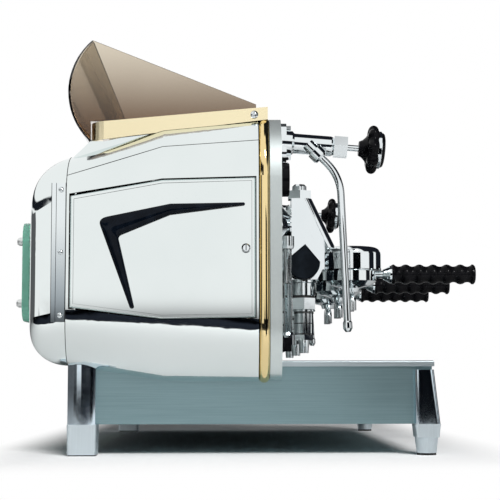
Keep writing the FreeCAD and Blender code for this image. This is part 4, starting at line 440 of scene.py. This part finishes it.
def newTree(name, **sockets):
    # a rule for shapes, with its inputs by kind; each rule also takes a shape and a finish
    tree = bpy.data.node_groups.new(name, "GeometryNodeTree")
    tree.interface.new_socket("Geometry", in_out="INPUT", socket_type="NodeSocketGeometry")
    for kind, labels in {**sockets, "Material": ["Finish"]}.items():
        for label in labels:
            tree.interface.new_socket(label, in_out="INPUT", socket_type="NodeSocket" + kind)
    tree.interface.new_socket("Geometry", in_out="OUTPUT", socket_type="NodeSocketGeometry")
    entry = tree.nodes.new("NodeGroupInput")
    given = {socket.name: Sock(tree, socket) for socket in entry.outputs if socket.name}
    return tree, given


def endTree(tree, shape, material):
    # every rule ends as real faces in one finish
    real = makeNode(tree, "GeometryNodeRealizeInstances", {}, {"Geometry": shape})
    dressed = makeNode(tree, "GeometryNodeSetMaterial", {}, {"Geometry": real, "Material": material})
    leave = tree.nodes.new("NodeGroupOutput")
    tree.links.new(dressed.socket, leave.inputs[0])


def finalMesh(holder):
    # the mesh of an object as its rule or its font makes it
    return bpy.data.meshes.new_from_object(holder.evaluated_get(bpy.context.evaluated_depsgraph_get()))


def runTree(tree, values, mesh=None):
    # what a rule makes of its values, as a shape that more can be added to
    holder = bpy.data.objects.new("ruleHolder", mesh or bpy.data.meshes.new("ruleHolder"))
    bpy.context.scene.collection.objects.link(holder)
    rule = holder.modifiers.new("rule", "NODES")
    rule.node_group = tree
    for item in tree.interface.items_tree:
        if item.in_out == "INPUT" and item.name in values:
            rule[item.identifier] = values[item.name]
    shape = bmesh.new()
    shape.from_mesh(finalMesh(holder))
    bpy.data.objects.remove(holder)
    return shape


# star knobs of the steam valves: a cone, a thick disc whose rim follows a cosine of eight lobes, a chrome
# ring and a black face; lengths run from the rear end of the hub
knob = {"lobes": 8.0, "rim": 0.0345, "half": 0.0088, "dip": 0.15, "square": 0.32, "around": 161, "across": 29,
        "weld": 0.00001, "discMiddle": 0.0197, "ringFrom": 0.0255, "faceFrom": 0.0313, "frontAround": 96,
        "ring": [(0.0, 0.0), (0.0258, 0.0), (0.0262, 0.0006), (0.0262, 0.0050), (0.0254, 0.0058),
                 (0.0, 0.0058)],
        "face": [(0.0, 0.0), (0.0236, 0.0), (0.0243, 0.0006), (0.0241, 0.0020), (0.0226, 0.0038),
                 (0.0188, 0.0050), (0.0100, 0.0054), (0.0, 0.0056)],
        "hub": [(0.0045, 0.0), (0.0098, 0.0), (0.0106, 0.0010), (0.0125, 0.0050), (0.0165, 0.0090),
                (0.0222, 0.0125), (0.0222, 0.0160), (0.0045, 0.0160)],
        "sharp": 50.0, "ringSharp": 25.0}


def lobedTree():
    # a grid rolled into a flattened ball, X round it and Y from pole to pole
    tree, given = newTree("lobedKnob", Float=["Lobes", "Rim Radius", "Half Height", "Lobe Dip", "Squareness"],
                          Int=["Around", "Across"])
    sheet = makeNode(tree, "GeometryNodeMeshGrid", {}, {
        "Size X": 1.0, "Size Y": 1.0, "Vertices X": given["Around"], "Vertices Y": given["Across"]})
    spread = split(tree, makeNode(tree, "GeometryNodeInputPosition"))
    turn = (spread.out("X") + 0.5) * (2 * math.pi)
    rise = spread.out("Y") * math.pi
    lobe = 1.0 - given["Lobe Dip"] * (0.5 - (turn * given["Lobes"]).math("COSINE") * 0.5)
    waist = abs(rise.math("COSINE")) ** given["Squareness"]
    reach = given["Rim Radius"] * lobe * waist
    height = given["Half Height"] * rise.math("SINE")
    spot = join(tree, X=reach * turn.math("COSINE"), Y=reach * turn.math("SINE"), Z=height)
    bent = makeNode(tree, "GeometryNodeSetPosition", {}, {"Geometry": sheet, "Position": spot})
    welded = makeNode(tree, "GeometryNodeMergeByDistance", {}, {"Geometry": bent, "Distance": knob["weld"]})
    endTree(tree, welded, given["Finish"])
    return tree


knobTree = lobedTree()
for side in ("left", "right"):
    turnJoint = joints[side + "_steam_turn"]
    axis = Vector(turnJoint["axis"]).normalized()
    pivot = Vector(turnJoint["pos_m"])
    reaches = [(vertex.co - pivot).dot(axis) for vertex in nodes[side + "_steam_knob"].data.vertices]
    rear = pivot + axis * min(reaches)
    shape = runTree(knobTree, {"Lobes": knob["lobes"], "Rim Radius": knob["rim"], "Half Height": knob["half"],
                               "Lobe Dip": knob["dip"], "Squareness": knob["square"],
                               "Around": knob["around"], "Across": knob["across"],
                               "Finish": finish["blackGloss"]})
    middle = Matrix.Translation(rear + axis * knob["discMiddle"])
    bmesh.ops.transform(shape, matrix=middle @ turnTo(axis).to_4x4(), verts=shape.verts)
    latheInto(shape, knob["hub"] + knob["hub"][:1], rear, axis)
    latheInto(shape, knob["face"], rear + axis * knob["faceFrom"], axis, knob["frontAround"])
    addPiece(side + "StarKnob", shape, "blackGloss", side + "_steam_knob",
             [side + "_steam_knob"], knob["sharp"])
    shape = bmesh.new()
    latheInto(shape, knob["ring"], rear + axis * knob["ringFrom"], axis, knob["frontAround"])
    addPiece(side + "KnobRing", shape, "chrome", side + "_steam_knob",
             sharp=knob["ringSharp"])
print("star knobs made")

# black blades on the doors: two edges of a boomerang with a crowned section between them
blade = {
    "outer": [(0.01325, 0.3382), (0.11125, 0.3365), (0.19425, 0.3195), (0.20475, 0.3070), (0.16475, 0.1980)],
    "inner": [(0.01325, 0.3339), (0.11125, 0.3210), (0.17525, 0.2946), (0.17965, 0.2882), (0.15885, 0.1997)],
    "base": 0.46905, "crown": 0.0068, "steps": [16, 14, 12, 18], "bend": 2, "across": 15, "cap": 7,
    "capLeast": 0.02, "capPower": 0.7, "soft": 0.72, "sharp": 60.0,
}


def lineMeet(first, second, third, fourth):
    # the point where the line through two points meets the line through two others
    along = Vector(second) - Vector(first)
    other = Vector(fourth) - Vector(third)
    gap = Vector(third) - Vector(first)
    share = (gap.x * other.y - gap.y * other.x) / (along.x * other.y - along.y * other.x)
    return Vector(first) + along * share


def edgePoint(edge, run, share):
    # a point along an edge, whose runs are straight but for the rounded bend
    start, end = Vector(edge[run]), Vector(edge[run + 1])
    if run != blade["bend"]:
        return start.lerp(end, share)
    corner = lineMeet(edge[run - 1], edge[run], edge[run + 1], edge[run + 2])
    return start.lerp(corner, share).lerp(corner.lerp(end, share), share)


def bladeShape(sign):
    stations = []
    for run, count in enumerate(blade["steps"]):
        last = run == len(blade["steps"]) - 1
        for index in range(count + last):
            share = index / count
            stations.append((edgePoint(blade["outer"], run, share), edgePoint(blade["inner"], run, share)))
    caps = []
    for end in (0, -1):
        upper, lower = stations[end]
        near = stations[1 if end == 0 else -2]
        middle = (upper + lower) / 2
        ahead = (middle - (near[0] + near[1]) / 2).normalized()
        half = (upper - lower) / 2
        cap = []
        for index in range(1, blade["cap"] + 1):
            angle = math.pi / 2 * index / blade["cap"]
            width = max(math.cos(angle), blade["capLeast"])
            shift = ahead * half.length * math.sin(angle)
            cap.append((middle + shift + half * width, middle + shift - half * width, width))
        caps.append(cap)
    full = [(upper, lower, 1.0) for upper, lower in stations]
    shape = bmesh.new()
    rings = []
    for upper, lower, width in list(reversed(caps[0])) + full + caps[1]:
        ring = []
        for index in range(blade["across"]):
            angle = math.pi * (index / (blade["across"] - 1) - 0.5)
            spot = upper.lerp(lower, 0.5 + 0.5 * math.sin(angle))
            lift = max(math.cos(angle), 0.0) ** blade["soft"] * width ** blade["capPower"]
            ring.append(shape.verts.new((sign * (blade["base"] + blade["crown"] * lift), spot.x, spot.y)))
        rings.append(ring)
    for low, high in zip(rings, rings[1:]):
        stitch(shape, low, high)
    shape.faces.new(rings[0])
    shape.faces.new(rings[-1])
    return shape


for side, sign in (("left", -1), ("right", 1)):
    addPiece(side + "DoorBlade", bladeShape(sign), "bladeGloss", side + "_door",
             [side + "_door_trim"], blade["sharp"])
print("door blades made")

# domed screws of the seam strips and the rail, with a cross in each head
screws = {"radius": 0.0036, "height": 0.0024, "slot": 0.00055, "deep": 0.0007, "around": 32, "sideRows": 2,
          "topRows": 7, "topFrom": 0.4, "dome": 0.62, "slotReach": 0.4, "levels": (0.187, 0.271, 0.355),
          "seam": (0.4718, 0.25675), "firstSpin": 0.4, "spinStep": 0.9, "rail": (0.434, -0.00225, 0.4645),
          "railSize": 1.47, "railSpin": 0.2, "sharp": 40.0}


def screwTree():
    # a domed head with its cross, laid on points that say their side, spin and size
    tree, given = newTree("domedScrews", Float=["Radius", "Height", "Slot Width", "Slot Depth"])
    head = makeNode(tree, "GeometryNodeMeshCylinder", {"fill_type": "TRIANGLE_FAN"}, {
        "Vertices": screws["around"], "Side Segments": screws["sideRows"], "Fill Segments": screws["topRows"],
        "Radius": given["Radius"], "Depth": given["Height"]})
    spread = split(tree, makeNode(tree, "GeometryNodeInputPosition"))
    x, y, z = spread.out("X"), spread.out("Y"), spread.out("Z")
    away = (x * x + y * y) / (given["Radius"] * given["Radius"])
    top = z > given["Height"] * screws["topFrom"]
    slots = (abs(x) < given["Slot Width"]).most(abs(y) < given["Slot Width"])
    cross = slots * (away < screws["slotReach"])
    drop = top * (away * given["Height"] * screws["dome"] + cross * given["Slot Depth"])
    spot = join(tree, X=x, Y=y, Z=z - drop + given["Height"] * 0.5)
    domed = makeNode(tree, "GeometryNodeSetPosition", {}, {"Geometry": head, "Position": spot})
    kind = "GeometryNodeInputNamedAttribute"
    side, spin, size = [makeNode(tree, kind, {"data_type": "FLOAT"}, {"Name": label})
                        for label in ("side", "spin", "size")]
    facing, turned = [makeNode(tree, "FunctionNodeEulerToRotation", {}, {"Euler": angles})
                      for angles in (join(tree, Y=side * (math.pi / 2)), join(tree, Z=spin))]
    aim = makeNode(tree, "FunctionNodeRotateRotation", {"rotation_space": "LOCAL"}, {
        "Rotation": facing, "Rotate By": turned})
    laid = makeNode(tree, "GeometryNodeInstanceOnPoints", {}, {
        "Points": given["Geometry"], "Instance": domed, "Rotation": aim, "Scale": size})
    endTree(tree, laid, given["Finish"])
    return tree


def screwPoints():
    spots = []
    for sign in (-1, 1):
        for index, level in enumerate(screws["levels"]):
            spin = screws["firstSpin"] + screws["spinStep"] * index
            spots.append(((sign * screws["seam"][0], screws["seam"][1], level), sign, spin, 1.0))
        railX, railY, railZ = screws["rail"]
        spots.append(((sign * railX, railY, railZ), sign, screws["railSpin"], screws["railSize"]))
    mesh = bpy.data.meshes.new("screwSpots")
    mesh.from_pydata([spot[0] for spot in spots], [], [])
    for column, label in enumerate(("side", "spin", "size"), start=1):
        layer = mesh.attributes.new(label, "FLOAT", "POINT")
        for index, spot in enumerate(spots):
            layer.data[index].value = spot[column]
    return mesh


screwShape = runTree(screwTree(), {"Radius": screws["radius"], "Height": screws["height"],
                                   "Slot Width": screws["slot"], "Slot Depth": screws["deep"],
                                   "Finish": finish["chrome"]}, screwPoints())
addPiece("coverScrewHeads", screwShape, "chrome", "machine", ["cover_screws"],
         screws["sharp"])
print("screws made")

# dark beads along the seams, round the rear cover and along the upper edge of each side shell, and a dark
# cord of painted shade in the crease inside the raised border of each door; near is how close to an edge or
# face a point counts as on it
bead = {"radius": 0.0006, "sides": 8, "inset": 0.0002, "edgeInset": 0.0003, "edgeAway": (0.5, 0.866),
        "kink": 0.12225, "doorRadius": 0.0004, "doorInset": 0.0006, "near": 0.0001, "coverNear": 0.0002,
        "sharp": 60.0}


def outlineOf(points):
    # the outer corners of a flat cloud of points, in order round it
    points = sorted(set(points))
    halves = []
    for run in (points, list(reversed(points))):
        chain = []
        for point in run:
            while len(chain) > 1:
                (ax, az), (bx, bz) = chain[-2], chain[-1]
                if (bx - ax) * (point[1] - az) - (bz - az) * (point[0] - ax) > 0:
                    break
                chain.pop()
            chain.append(point)
        halves += chain[:-1]
    return halves


def cordInto(shape, path, outward, closed, radius):
    # a round cord through the points of a path; outward gives the side it stands out to at each point
    rings = []
    for index, here in enumerate(path):
        before = path[index - 1] if closed or index else here
        after = path[(index + 1) % len(path)] if closed or index + 1 < len(path) else here
        along = (after - before).normalized()
        across = along.cross(outward[index]).normalized()
        ring = []
        for number in range(bead["sides"]):
            angle = 2 * math.pi * number / bead["sides"]
            spoke = outward[index] * math.cos(angle) + across * math.sin(angle)
            ring.append(shape.verts.new(here + radius * spoke))
        rings.append(ring)
    for index in range(len(rings) - (not closed)):
        stitch(shape, rings[index], rings[(index + 1) % len(rings)])
    if not closed:
        shape.faces.new(rings[0])
        shape.faces.new(rings[-1])


def coverPath():
    # the front edge of the rear cover, which meets the shells
    cover = nodes["rear_cover"].data
    edge = min(vertex.co.y for vertex in cover.vertices)
    corners = outlineOf([(round(vertex.co.x, 5), round(vertex.co.z, 5)) for vertex in cover.vertices
                         if vertex.co.y < edge + bead["coverNear"]])
    path, outward = [], []
    for index, here in enumerate(corners):
        along = (Vector(corners[(index + 1) % len(corners)]) - Vector(corners[index - 1])).normalized()
        away = Vector((along.y, 0, -along.x))
        path.append(Vector((here[0], edge, here[1])) - away * bead["inset"])
        outward.append(away)
    return path, outward


def shellPath(side):
    # the upper outer corner of the shell at its two ends and at the kink between them
    shell = nodes[side + "_shell"].data
    low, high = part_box(side + "_shell")
    sideways, upwards = bead["edgeAway"]
    away = Vector((-sideways if side == "left" else sideways, 0, upwards))
    path = []
    for place in (low[1], bead["kink"], high[1]):
        around = [vertex.co for vertex in shell.vertices if abs(vertex.co.y - place) < bead["near"]]
        level = max(point.z for point in around) - bead["near"]
        corner = max((point for point in around if point.z > level), key=lambda point: abs(point.x))
        path.append(corner - away * bead["edgeInset"])
    return path, [away] * len(path)


def doorPath(side):
    # the inner corners of the raised border on the outer face of a door, in order round its middle
    door = nodes[side + "_door"].data
    face = max(abs(vertex.co.x) for vertex in door.vertices)
    corners = {(round(vertex.co.y, 4), round(vertex.co.z, 4)) for vertex in door.vertices
               if abs(vertex.co.x) > face - bead["near"]}
    inner = corners - set(outlineOf(list(corners)))
    middle = [sum(values) / len(inner) for values in zip(*inner)]
    ordered = sorted(inner, key=lambda spot: math.atan2(spot[1] - middle[1], spot[0] - middle[0]))
    away = Vector((-1 if side == "left" else 1, 0, 0))
    path = [away * (face - bead["doorInset"]) + Vector((0, y, z)) for y, z in ordered]
    return path, [away] * len(path)


def buildBeads():
    shape = bmesh.new()
    cordInto(shape, *coverPath(), True, bead["radius"])
    for side in ("left", "right"):
        cordInto(shape, *shellPath(side), False, bead["radius"])
    addPiece("seamBeads", shape, "rubber", "machine", sharp=bead["sharp"])
    for side in ("left", "right"):
        # each door gets a dark cord in the crease inside its raised border: painted shade
        shape = bmesh.new()
        cordInto(shape, *doorPath(side), True, bead["doorRadius"])
        addPiece(side + "DoorCreaseShade", shape, "rubber", side + "_door", sharp=bead["sharp"])


buildBeads()
print("seam beads made")

# black seals in the grooves of the group chambers: low and high level, inner and outer radius
seals = {"rings": [(0.2231, 0.2259, 0.0156, 0.0171), (0.1998, 0.2016, 0.0143, 0.0152),
                   (0.1845, 0.1859, 0.0143, 0.0149), (0.1684, 0.1700, 0.0143, 0.0151)],
         "soft": 0.0003, "sharp": 50.0}


def buildSeals():
    low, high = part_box("group_chambers")
    soft = seals["soft"]
    shape = bmesh.new()
    for group in (1, 2, 3):
        place = (joints["lever_%d_turn" % group]["pos_m"][0], (low[1] + high[1]) / 2, 0)
        for bottom, top, inner, outer in seals["rings"]:
            section = [(inner, bottom), (outer - soft, bottom), (outer, bottom + soft), (outer, top - soft),
                       (outer - soft, top), (inner, top), (inner, bottom)]
            latheInto(shape, section, place, (0, 0, 1))
    addPiece("chamberSeals", shape, "rubber", "machine", sharp=seals["sharp"])


buildSeals()
print("chamber seals made")

# gauge dial: card, printed arc, ticks and numbers under the glass; angles in degrees from the top
dial = {"behind": 0.0018, "radius": 0.0207, "hole": 0.0013, "cardThick": 0.0002, "around": 72,
        "rise": 0.00028, "ticks": 31, "start": -120.0, "end": 120.0, "tickReach": 0.0192, "tickLong": 0.0032,
        "tickShort": 0.0018, "tickWide": 0.00034, "longEach": 5.0, "thick": 0.00008,
        "numbers": ("0", "0.5", "1", "1.5", "2", "2.5", "3"), "numberReach": 0.0125, "numberSize": 0.0040,
        "numberSteps": 3, "bandFrom": 10.0, "bandTo": 50.0, "bandInner": 0.0146, "bandOuter": 0.0156,
        "bandSteps": 12}


def tickTree():
    # bars on an arc, each fifth one long and twice as wide
    tree, given = newTree("dialTicks", Int=["Count"],
                          Float=["Start", "Step", "Reach", "Long", "Short", "Wide", "Thick"])
    number = makeNode(tree, "GeometryNodeInputIndex")
    angle = given["Start"] + number * given["Step"]
    major = number.math("MODULO", dial["longEach"]) < 0.5
    length = given["Short"] + (given["Long"] - given["Short"]) * major
    middle = given["Reach"] - length * 0.5
    spots = makeNode(tree, "GeometryNodePoints", {}, {
        "Count": given["Count"],
        "Position": join(tree, X=middle * angle.math("SINE"), Z=middle * angle.math("COSINE"))})
    bar = makeNode(tree, "GeometryNodeMeshCube", {}, {"Size": (1.0, 1.0, 1.0)})
    turned = makeNode(tree, "FunctionNodeEulerToRotation", {}, {"Euler": join(tree, Y=angle)})
    size = join(tree, X=given["Wide"] * (1.0 + major), Y=given["Thick"], Z=length)
    laid = makeNode(tree, "GeometryNodeInstanceOnPoints", {}, {
        "Points": spots, "Instance": bar, "Rotation": turned, "Scale": size})
    endTree(tree, laid, given["Finish"])
    return tree


def flatText(words, size, place, thick):
    # words as a thin solid that faces the front
    font = bpy.data.curves.new("dialWords", "FONT")
    font.body = words
    font.size = size
    font.align_x = "CENTER"
    font.align_y = "CENTER"
    font.extrude = thick
    font.resolution_u = dial["numberSteps"]
    holder = bpy.data.objects.new("dialWords", font)
    bpy.context.scene.collection.objects.link(holder)
    mesh = finalMesh(holder)
    bpy.data.objects.remove(holder)
    mesh.transform(Matrix.Translation(place) @ Matrix.Rotation(math.pi / 2, 4, "X"))
    return mesh


def dialAngle(start, end, index, steps):
    # the way from the middle of the dial at one of the even steps between two angles
    angle = math.radians(start + (end - start) * index / steps)
    return Vector((math.sin(angle), 0, math.cos(angle)))


def buildDial():
    centre = Vector(joints["gauge_needle_turn"]["pos_m"]) + Vector((0, dial["behind"], 0))
    front = Vector((0, -1, 0))
    hole, radius, thick = dial["hole"], dial["radius"], dial["cardThick"]
    shape = bmesh.new()
    latheInto(shape, [(hole, 0.0), (radius, 0.0), (radius, thick), (hole, thick), (hole, 0.0)], centre, front,
              dial["around"])
    addPiece("gaugeCard", shape, "dialCard", "machine")
    face = centre + front * dial["rise"]
    step = (dial["end"] - dial["start"]) / (dial["ticks"] - 1)
    shape = runTree(tickTree(), {"Count": dial["ticks"], "Start": math.radians(dial["start"]),
                                 "Step": math.radians(step), "Reach": dial["tickReach"],
                                 "Long": dial["tickLong"], "Short": dial["tickShort"],
                                 "Wide": dial["tickWide"], "Thick": dial["thick"],
                                 "Finish": finish["inkBlack"]})
    bmesh.ops.translate(shape, vec=face, verts=shape.verts)
    for index, words in enumerate(dial["numbers"]):
        away = dialAngle(dial["start"], dial["end"], index, len(dial["numbers"]) - 1)
        spot = face + away * dial["numberReach"]
        shape.from_mesh(flatText(words, dial["numberSize"], spot, dial["thick"] / 2))
    addPiece("gaugeMarks", shape, "inkBlack", "machine")
    shape = bmesh.new()
    rows = []
    for index in range(dial["bandSteps"] + 1):
        away = dialAngle(dial["bandFrom"], dial["bandTo"], index, dial["bandSteps"])
        spots = [face + away * dial["bandInner"], face + away * dial["bandOuter"]]
        spots += [spot + front * dial["thick"] for spot in reversed(spots)]
        rows.append([shape.verts.new(spot) for spot in spots])
    for low, high in zip(rows, rows[1:]):
        stitch(shape, low, high)
    shape.faces.new(rows[0])
    shape.faces.new(rows[-1])
    addPiece("gaugeBand", shape, "inkGreen", "machine")


buildDial()
print("gauge dial made")

# water standing in the sight glass, with the hollow of its surface; dips are shares of its radius and of
# the depth of the hollow
water = {"gap": 0.0002, "wall": 0.0015, "floor": 0.001, "share": 0.58, "hollow": 0.0012, "around": 32,
         "dips": [(0.8, 0.6), (0.4, 1.0), (0.0, 1.0)]}


def buildWater():
    low, high = [Vector(corner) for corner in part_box("sight_glass_tube")]
    radius = (high.x - low.x) / 2 - water["wall"] - water["gap"]
    level = (high.z - low.z) * water["share"]
    profile = [(0.0, water["floor"]), (radius, water["floor"]), (radius, level)]
    profile += [(radius * out, level - water["hollow"] * down) for out, down in water["dips"]]
    shape = bmesh.new()
    latheInto(shape, profile, ((low.x + high.x) / 2, (low.y + high.y) / 2, low.z), (0, 0, 1), water["around"])
    addPiece("sightWater", shape, "boilerWater", "machine")


buildWater()
print("sight glass filled")

# pale plain floor that keeps the shadow; clear of the part it is plain white for the camera, and for
# reflections it is a shade darker and ends where the room begins
studio = {"floorHalf": 14.0, "floorColour": (0.94, 0.94, 0.94), "floorWorn": 0.985, "floorGrain": 3.0,
          "sideEdge": 0.27, "nearEdge": 0.50, "nearShare": 0.4, "fade": 0.13, "floorShade": 0.14,
          "roomFrom": 1.46, "roomTo": 1.54, "roomAngle": 1.9, "roomFade": 0.3,
          "roomColour": (0.010, 0.012, 0.017), "skyLevel": 0.09, "skyColour": (0.93, 0.96, 1.0)}


def stageSheet(name, corners, grain, colour, worn, finishName):
    # one matt face of the studio with a faint grain
    mesh = bpy.data.meshes.new(name)
    mesh.from_pydata(corners, [], [(0, 1, 2, 3)])
    item = bpy.data.objects.new(name, mesh)
    bpy.context.scene.collection.objects.link(item)
    material, tree, shader = newMaterial(finishName)
    feed(tree, shader, "Base Color", mixColour(tree, noise(tree, objectPlace(tree), grain), colour, worn))
    shader.inputs["Roughness"].default_value = 1.0
    shader.inputs["Specular IOR Level"].default_value = 0.0
    mesh.materials.append(material)
    return item, tree, shader


def buildFloor():
    half = studio["floorHalf"]
    pale = studio["floorColour"]
    corners = [(-half, -half, 0), (half, -half, 0), (half, half, 0), (-half, half, 0)]
    floor, tree, shader = stageSheet("studioFloor", corners, studio["floorGrain"], pale,
                                     tuple(channel * studio["floorWorn"] for channel in pale), "floorPale")
    near = Sock(tree, shader.outputs[0])
    axes = objectAxes(tree)
    x, y = axes.out("X"), abs(axes.out("Y"))
    away = (y - studio["sideEdge"]).most((0.0 - x - studio["nearEdge"]) * studio["nearShare"])
    path = makeNode(tree, "ShaderNodeLightPath")
    seen = (path.out("Is Camera Ray") + path.out("Is Transmission Ray")).least(1.0)
    white = makeNode(tree, "ShaderNodeEmission", {}, {"Color": (1, 1, 1, 1), "Strength": 1.0})
    room = makeNode(tree, "ShaderNodeBsdfDiffuse", {}, {"Color": (*studio["roomColour"], 1)})
    mixed = mixShader(tree, seen * away.step(0.0, studio["fade"]), near, white)
    ahead = 1.0 - (y - abs(x) * studio["roomAngle"]).step(0.0, studio["roomFade"])
    far = (0.0 - x).step(studio["roomFrom"], studio["roomTo"]) * ahead
    mixed = mixShader(tree, path.out("Is Glossy Ray") * far.most(studio["floorShade"]), mixed, room)
    output = next(node for node in tree.nodes if node.type == "OUTPUT_MATERIAL")
    tree.links.new(mixed.socket, output.inputs[0])


# where reflections see the dark room: each span is where a zone fades in or out, along X, Y or Z of the
# direction, along flank (how far it points to the rear) or along ahead (how far it points to the lens)
zones = {"horizonTop": (0.035, 0.06), "horizonRear": (0.30, 0.40), "horizonFront": (-0.985, -0.96),
         "besideFrom": (-0.03, 0.0), "besideTo": (0.36, 0.40), "beyondFrom": (-0.86, -0.82),
         "beyondTo": (-0.25, -0.22), "frontEnd": (-0.2, -0.1), "frontTop": (0.85, 0.95),
         "slopeFrom": (0.30, 0.42), "slopeEnd": (-0.78, -0.70), "rearFrom": (0.74, 0.80),
         "rearTop": (0.15, 0.185), "rearDepth": 0.90, "wedgeFrom": (0.18, 0.24), "wedgeLow": (0.19, 0.21),
         "wedgeTop": (0.34, 0.40), "roofFrom": (0.92, 0.955), "farSide": (0.0, 0.06), "farFrom": (0.25, 0.35),
         "roofEnd": (-0.05, 0.03), "least": 0.0001}


def buildWorld():
    # reflections see white screens at the sides of the part, a white roof over its body, and the dark room
    # between them: at the horizon, over the front, beside the front screen, behind the part and in a band
    # above that
    world = bpy.data.worlds.new("studio")
    bpy.context.scene.world = world
    world.use_nodes = True
    tree = world.node_tree
    tree.nodes.clear()
    sky, white, room = [makeNode(tree, "ShaderNodeBackground", {}, {"Color": (*colour, 1), "Strength": level})
                        for colour, level in ((studio["skyColour"], studio["skyLevel"]), ((1, 1, 1), 1.0),
                                              (studio["roomColour"], 1.0))]
    spread = split(tree, makeNode(tree, "ShaderNodeTexCoord"))
    x, y, z = spread.out("X"), spread.out("Y"), spread.out("Z")
    flat = (x * x + y * y + zones["least"]).math("SQRT")
    flank = y / flat
    ahead = 0.0 - x / flat

    def after(value, name):
        return value.step(*zones[name])

    def before(value, name):
        return 1.0 - after(value, name)

    horizon = before(z, "horizonTop") * before(flank, "horizonRear") * after(flank, "horizonFront")
    beside = after(ahead, "besideFrom") * before(ahead, "besideTo")
    beyond = after(ahead, "beyondFrom") * before(ahead, "beyondTo")
    front = beside.most(beyond) * before(flank, "frontEnd") * before(z, "frontTop")
    slope = after(z, "slopeFrom") * before(flank, "slopeEnd")
    rear = after(flank, "rearFrom") * before(z, "rearTop") * zones["rearDepth"]
    wedge = after(flank, "wedgeFrom") * after(z, "wedgeLow") * before(z, "wedgeTop")
    farRoof = after(x, "farSide") * after(z, "farFrom")
    roof = after(z, "roofFrom").most(farRoof) * before(y, "roofEnd")
    dark = horizon.most(front).most(slope).most(rear).most(wedge).most(roof)
    path = makeNode(tree, "ShaderNodeLightPath")
    seen = path.out("Is Camera Ray") + path.out("Is Transmission Ray") + path.out("Is Glossy Ray")
    mixed = mixShader(tree, seen.least(1.0), sky, white)
    mixed = mixShader(tree, path.out("Is Glossy Ray") * dark, mixed, room)
    output = tree.nodes.new("ShaderNodeOutputWorld")
    tree.links.new(mixed.socket, output.inputs[0])


# a dark card beside the lens, seen only as a reflection, that draws black lines down the bright metal of
# the groups; low and high are its corners across and up
card = {"x": -0.95, "low": (-0.58, 0.02), "high": (-0.19, 0.40), "grain": 20.0,
        "colour": (0.004, 0.005, 0.007), "worn": (0.006, 0.007, 0.010)}


def buildCard():
    (left, bottom), (right, top) = card["low"], card["high"]
    corners = [(card["x"], y, z) for y, z in ((left, bottom), (right, bottom), (right, top), (left, top))]
    item = stageSheet("darkCard", corners, card["grain"], card["colour"], card["worn"], "cardBlack")[0]
    item.visible_camera = False
    item.visible_diffuse = False
    item.visible_transmission = False
    item.visible_shadow = False


# soft lamps that reflections don't show, and a small one that is only seen in reflections
lamps = {
    "sideSoft": {"place": (-3.1, -0.9, 1.85), "aim": (0, 0, 0.1), "size": (1.6, 1.0), "power": 150},
    "topSoft": {"place": (-1.3, -0.2, 2.6), "aim": (0, 0, 0.2), "size": (2.0, 2.0), "power": 5},
    "sparkle": {"place": (-2.7, -1.1, 2.3), "aim": (-0.2, -0.25, 0.25), "size": (0.45, 0.45), "power": 30,
                "glossy": True},
}


def addLamp(name, place, aim, size, power, glossy=False):
    lamp = bpy.data.lights.new(name, "AREA")
    lamp.shape = "RECTANGLE"
    lamp.size, lamp.size_y = size
    lamp.energy = power
    item = bpy.data.objects.new(name, lamp)
    item.location = place
    item.rotation_euler = (Vector(aim) - Vector(place)).to_track_quat("-Z", "Y").to_euler()
    item.visible_glossy = glossy
    item.visible_diffuse = not glossy
    item.visible_transmission = not glossy
    bpy.context.scene.collection.objects.link(item)


# the camera: focal length, frame and lineTo in points of the picture
view = {"place": (-2.256, 0.03125, 0.104), "focal": 1344.0, "frame": 500.0, "lineTo": (230.0, 378.0),
        "sensor": 36.0, "farEnd": 100}


def buildCamera():
    # the +X direction of the part runs to the point lineTo of the picture
    half = view["frame"] / 2
    across = view["lineTo"][0] - half
    down = view["lineTo"][1] - half
    alongX = Vector((across, -down, -view["focal"])).normalized()
    up = Vector((0, 1, 0))
    upward = (up - alongX * up.dot(alongX)).normalized()
    alongY = upward.cross(alongX)
    turn = Matrix((alongX, alongY, upward))
    lens = bpy.data.cameras.new("pictureCamera")
    lens.sensor_width = view["sensor"]
    lens.lens = view["focal"] * view["sensor"] / view["frame"]
    lens.clip_end = view["farEnd"]
    item = bpy.data.objects.new("pictureCamera", lens)
    item.matrix_world = Matrix.Translation(view["place"]) @ turn.to_4x4()
    bpy.context.scene.collection.objects.link(item)
    bpy.context.scene.camera = item


buildFloor()
buildWorld()
buildCard()
for lampName, settings in lamps.items():
    addLamp(lampName, **settings)
buildCamera()
bpy.context.scene.view_settings.view_transform = "Standard"
print("studio ready")
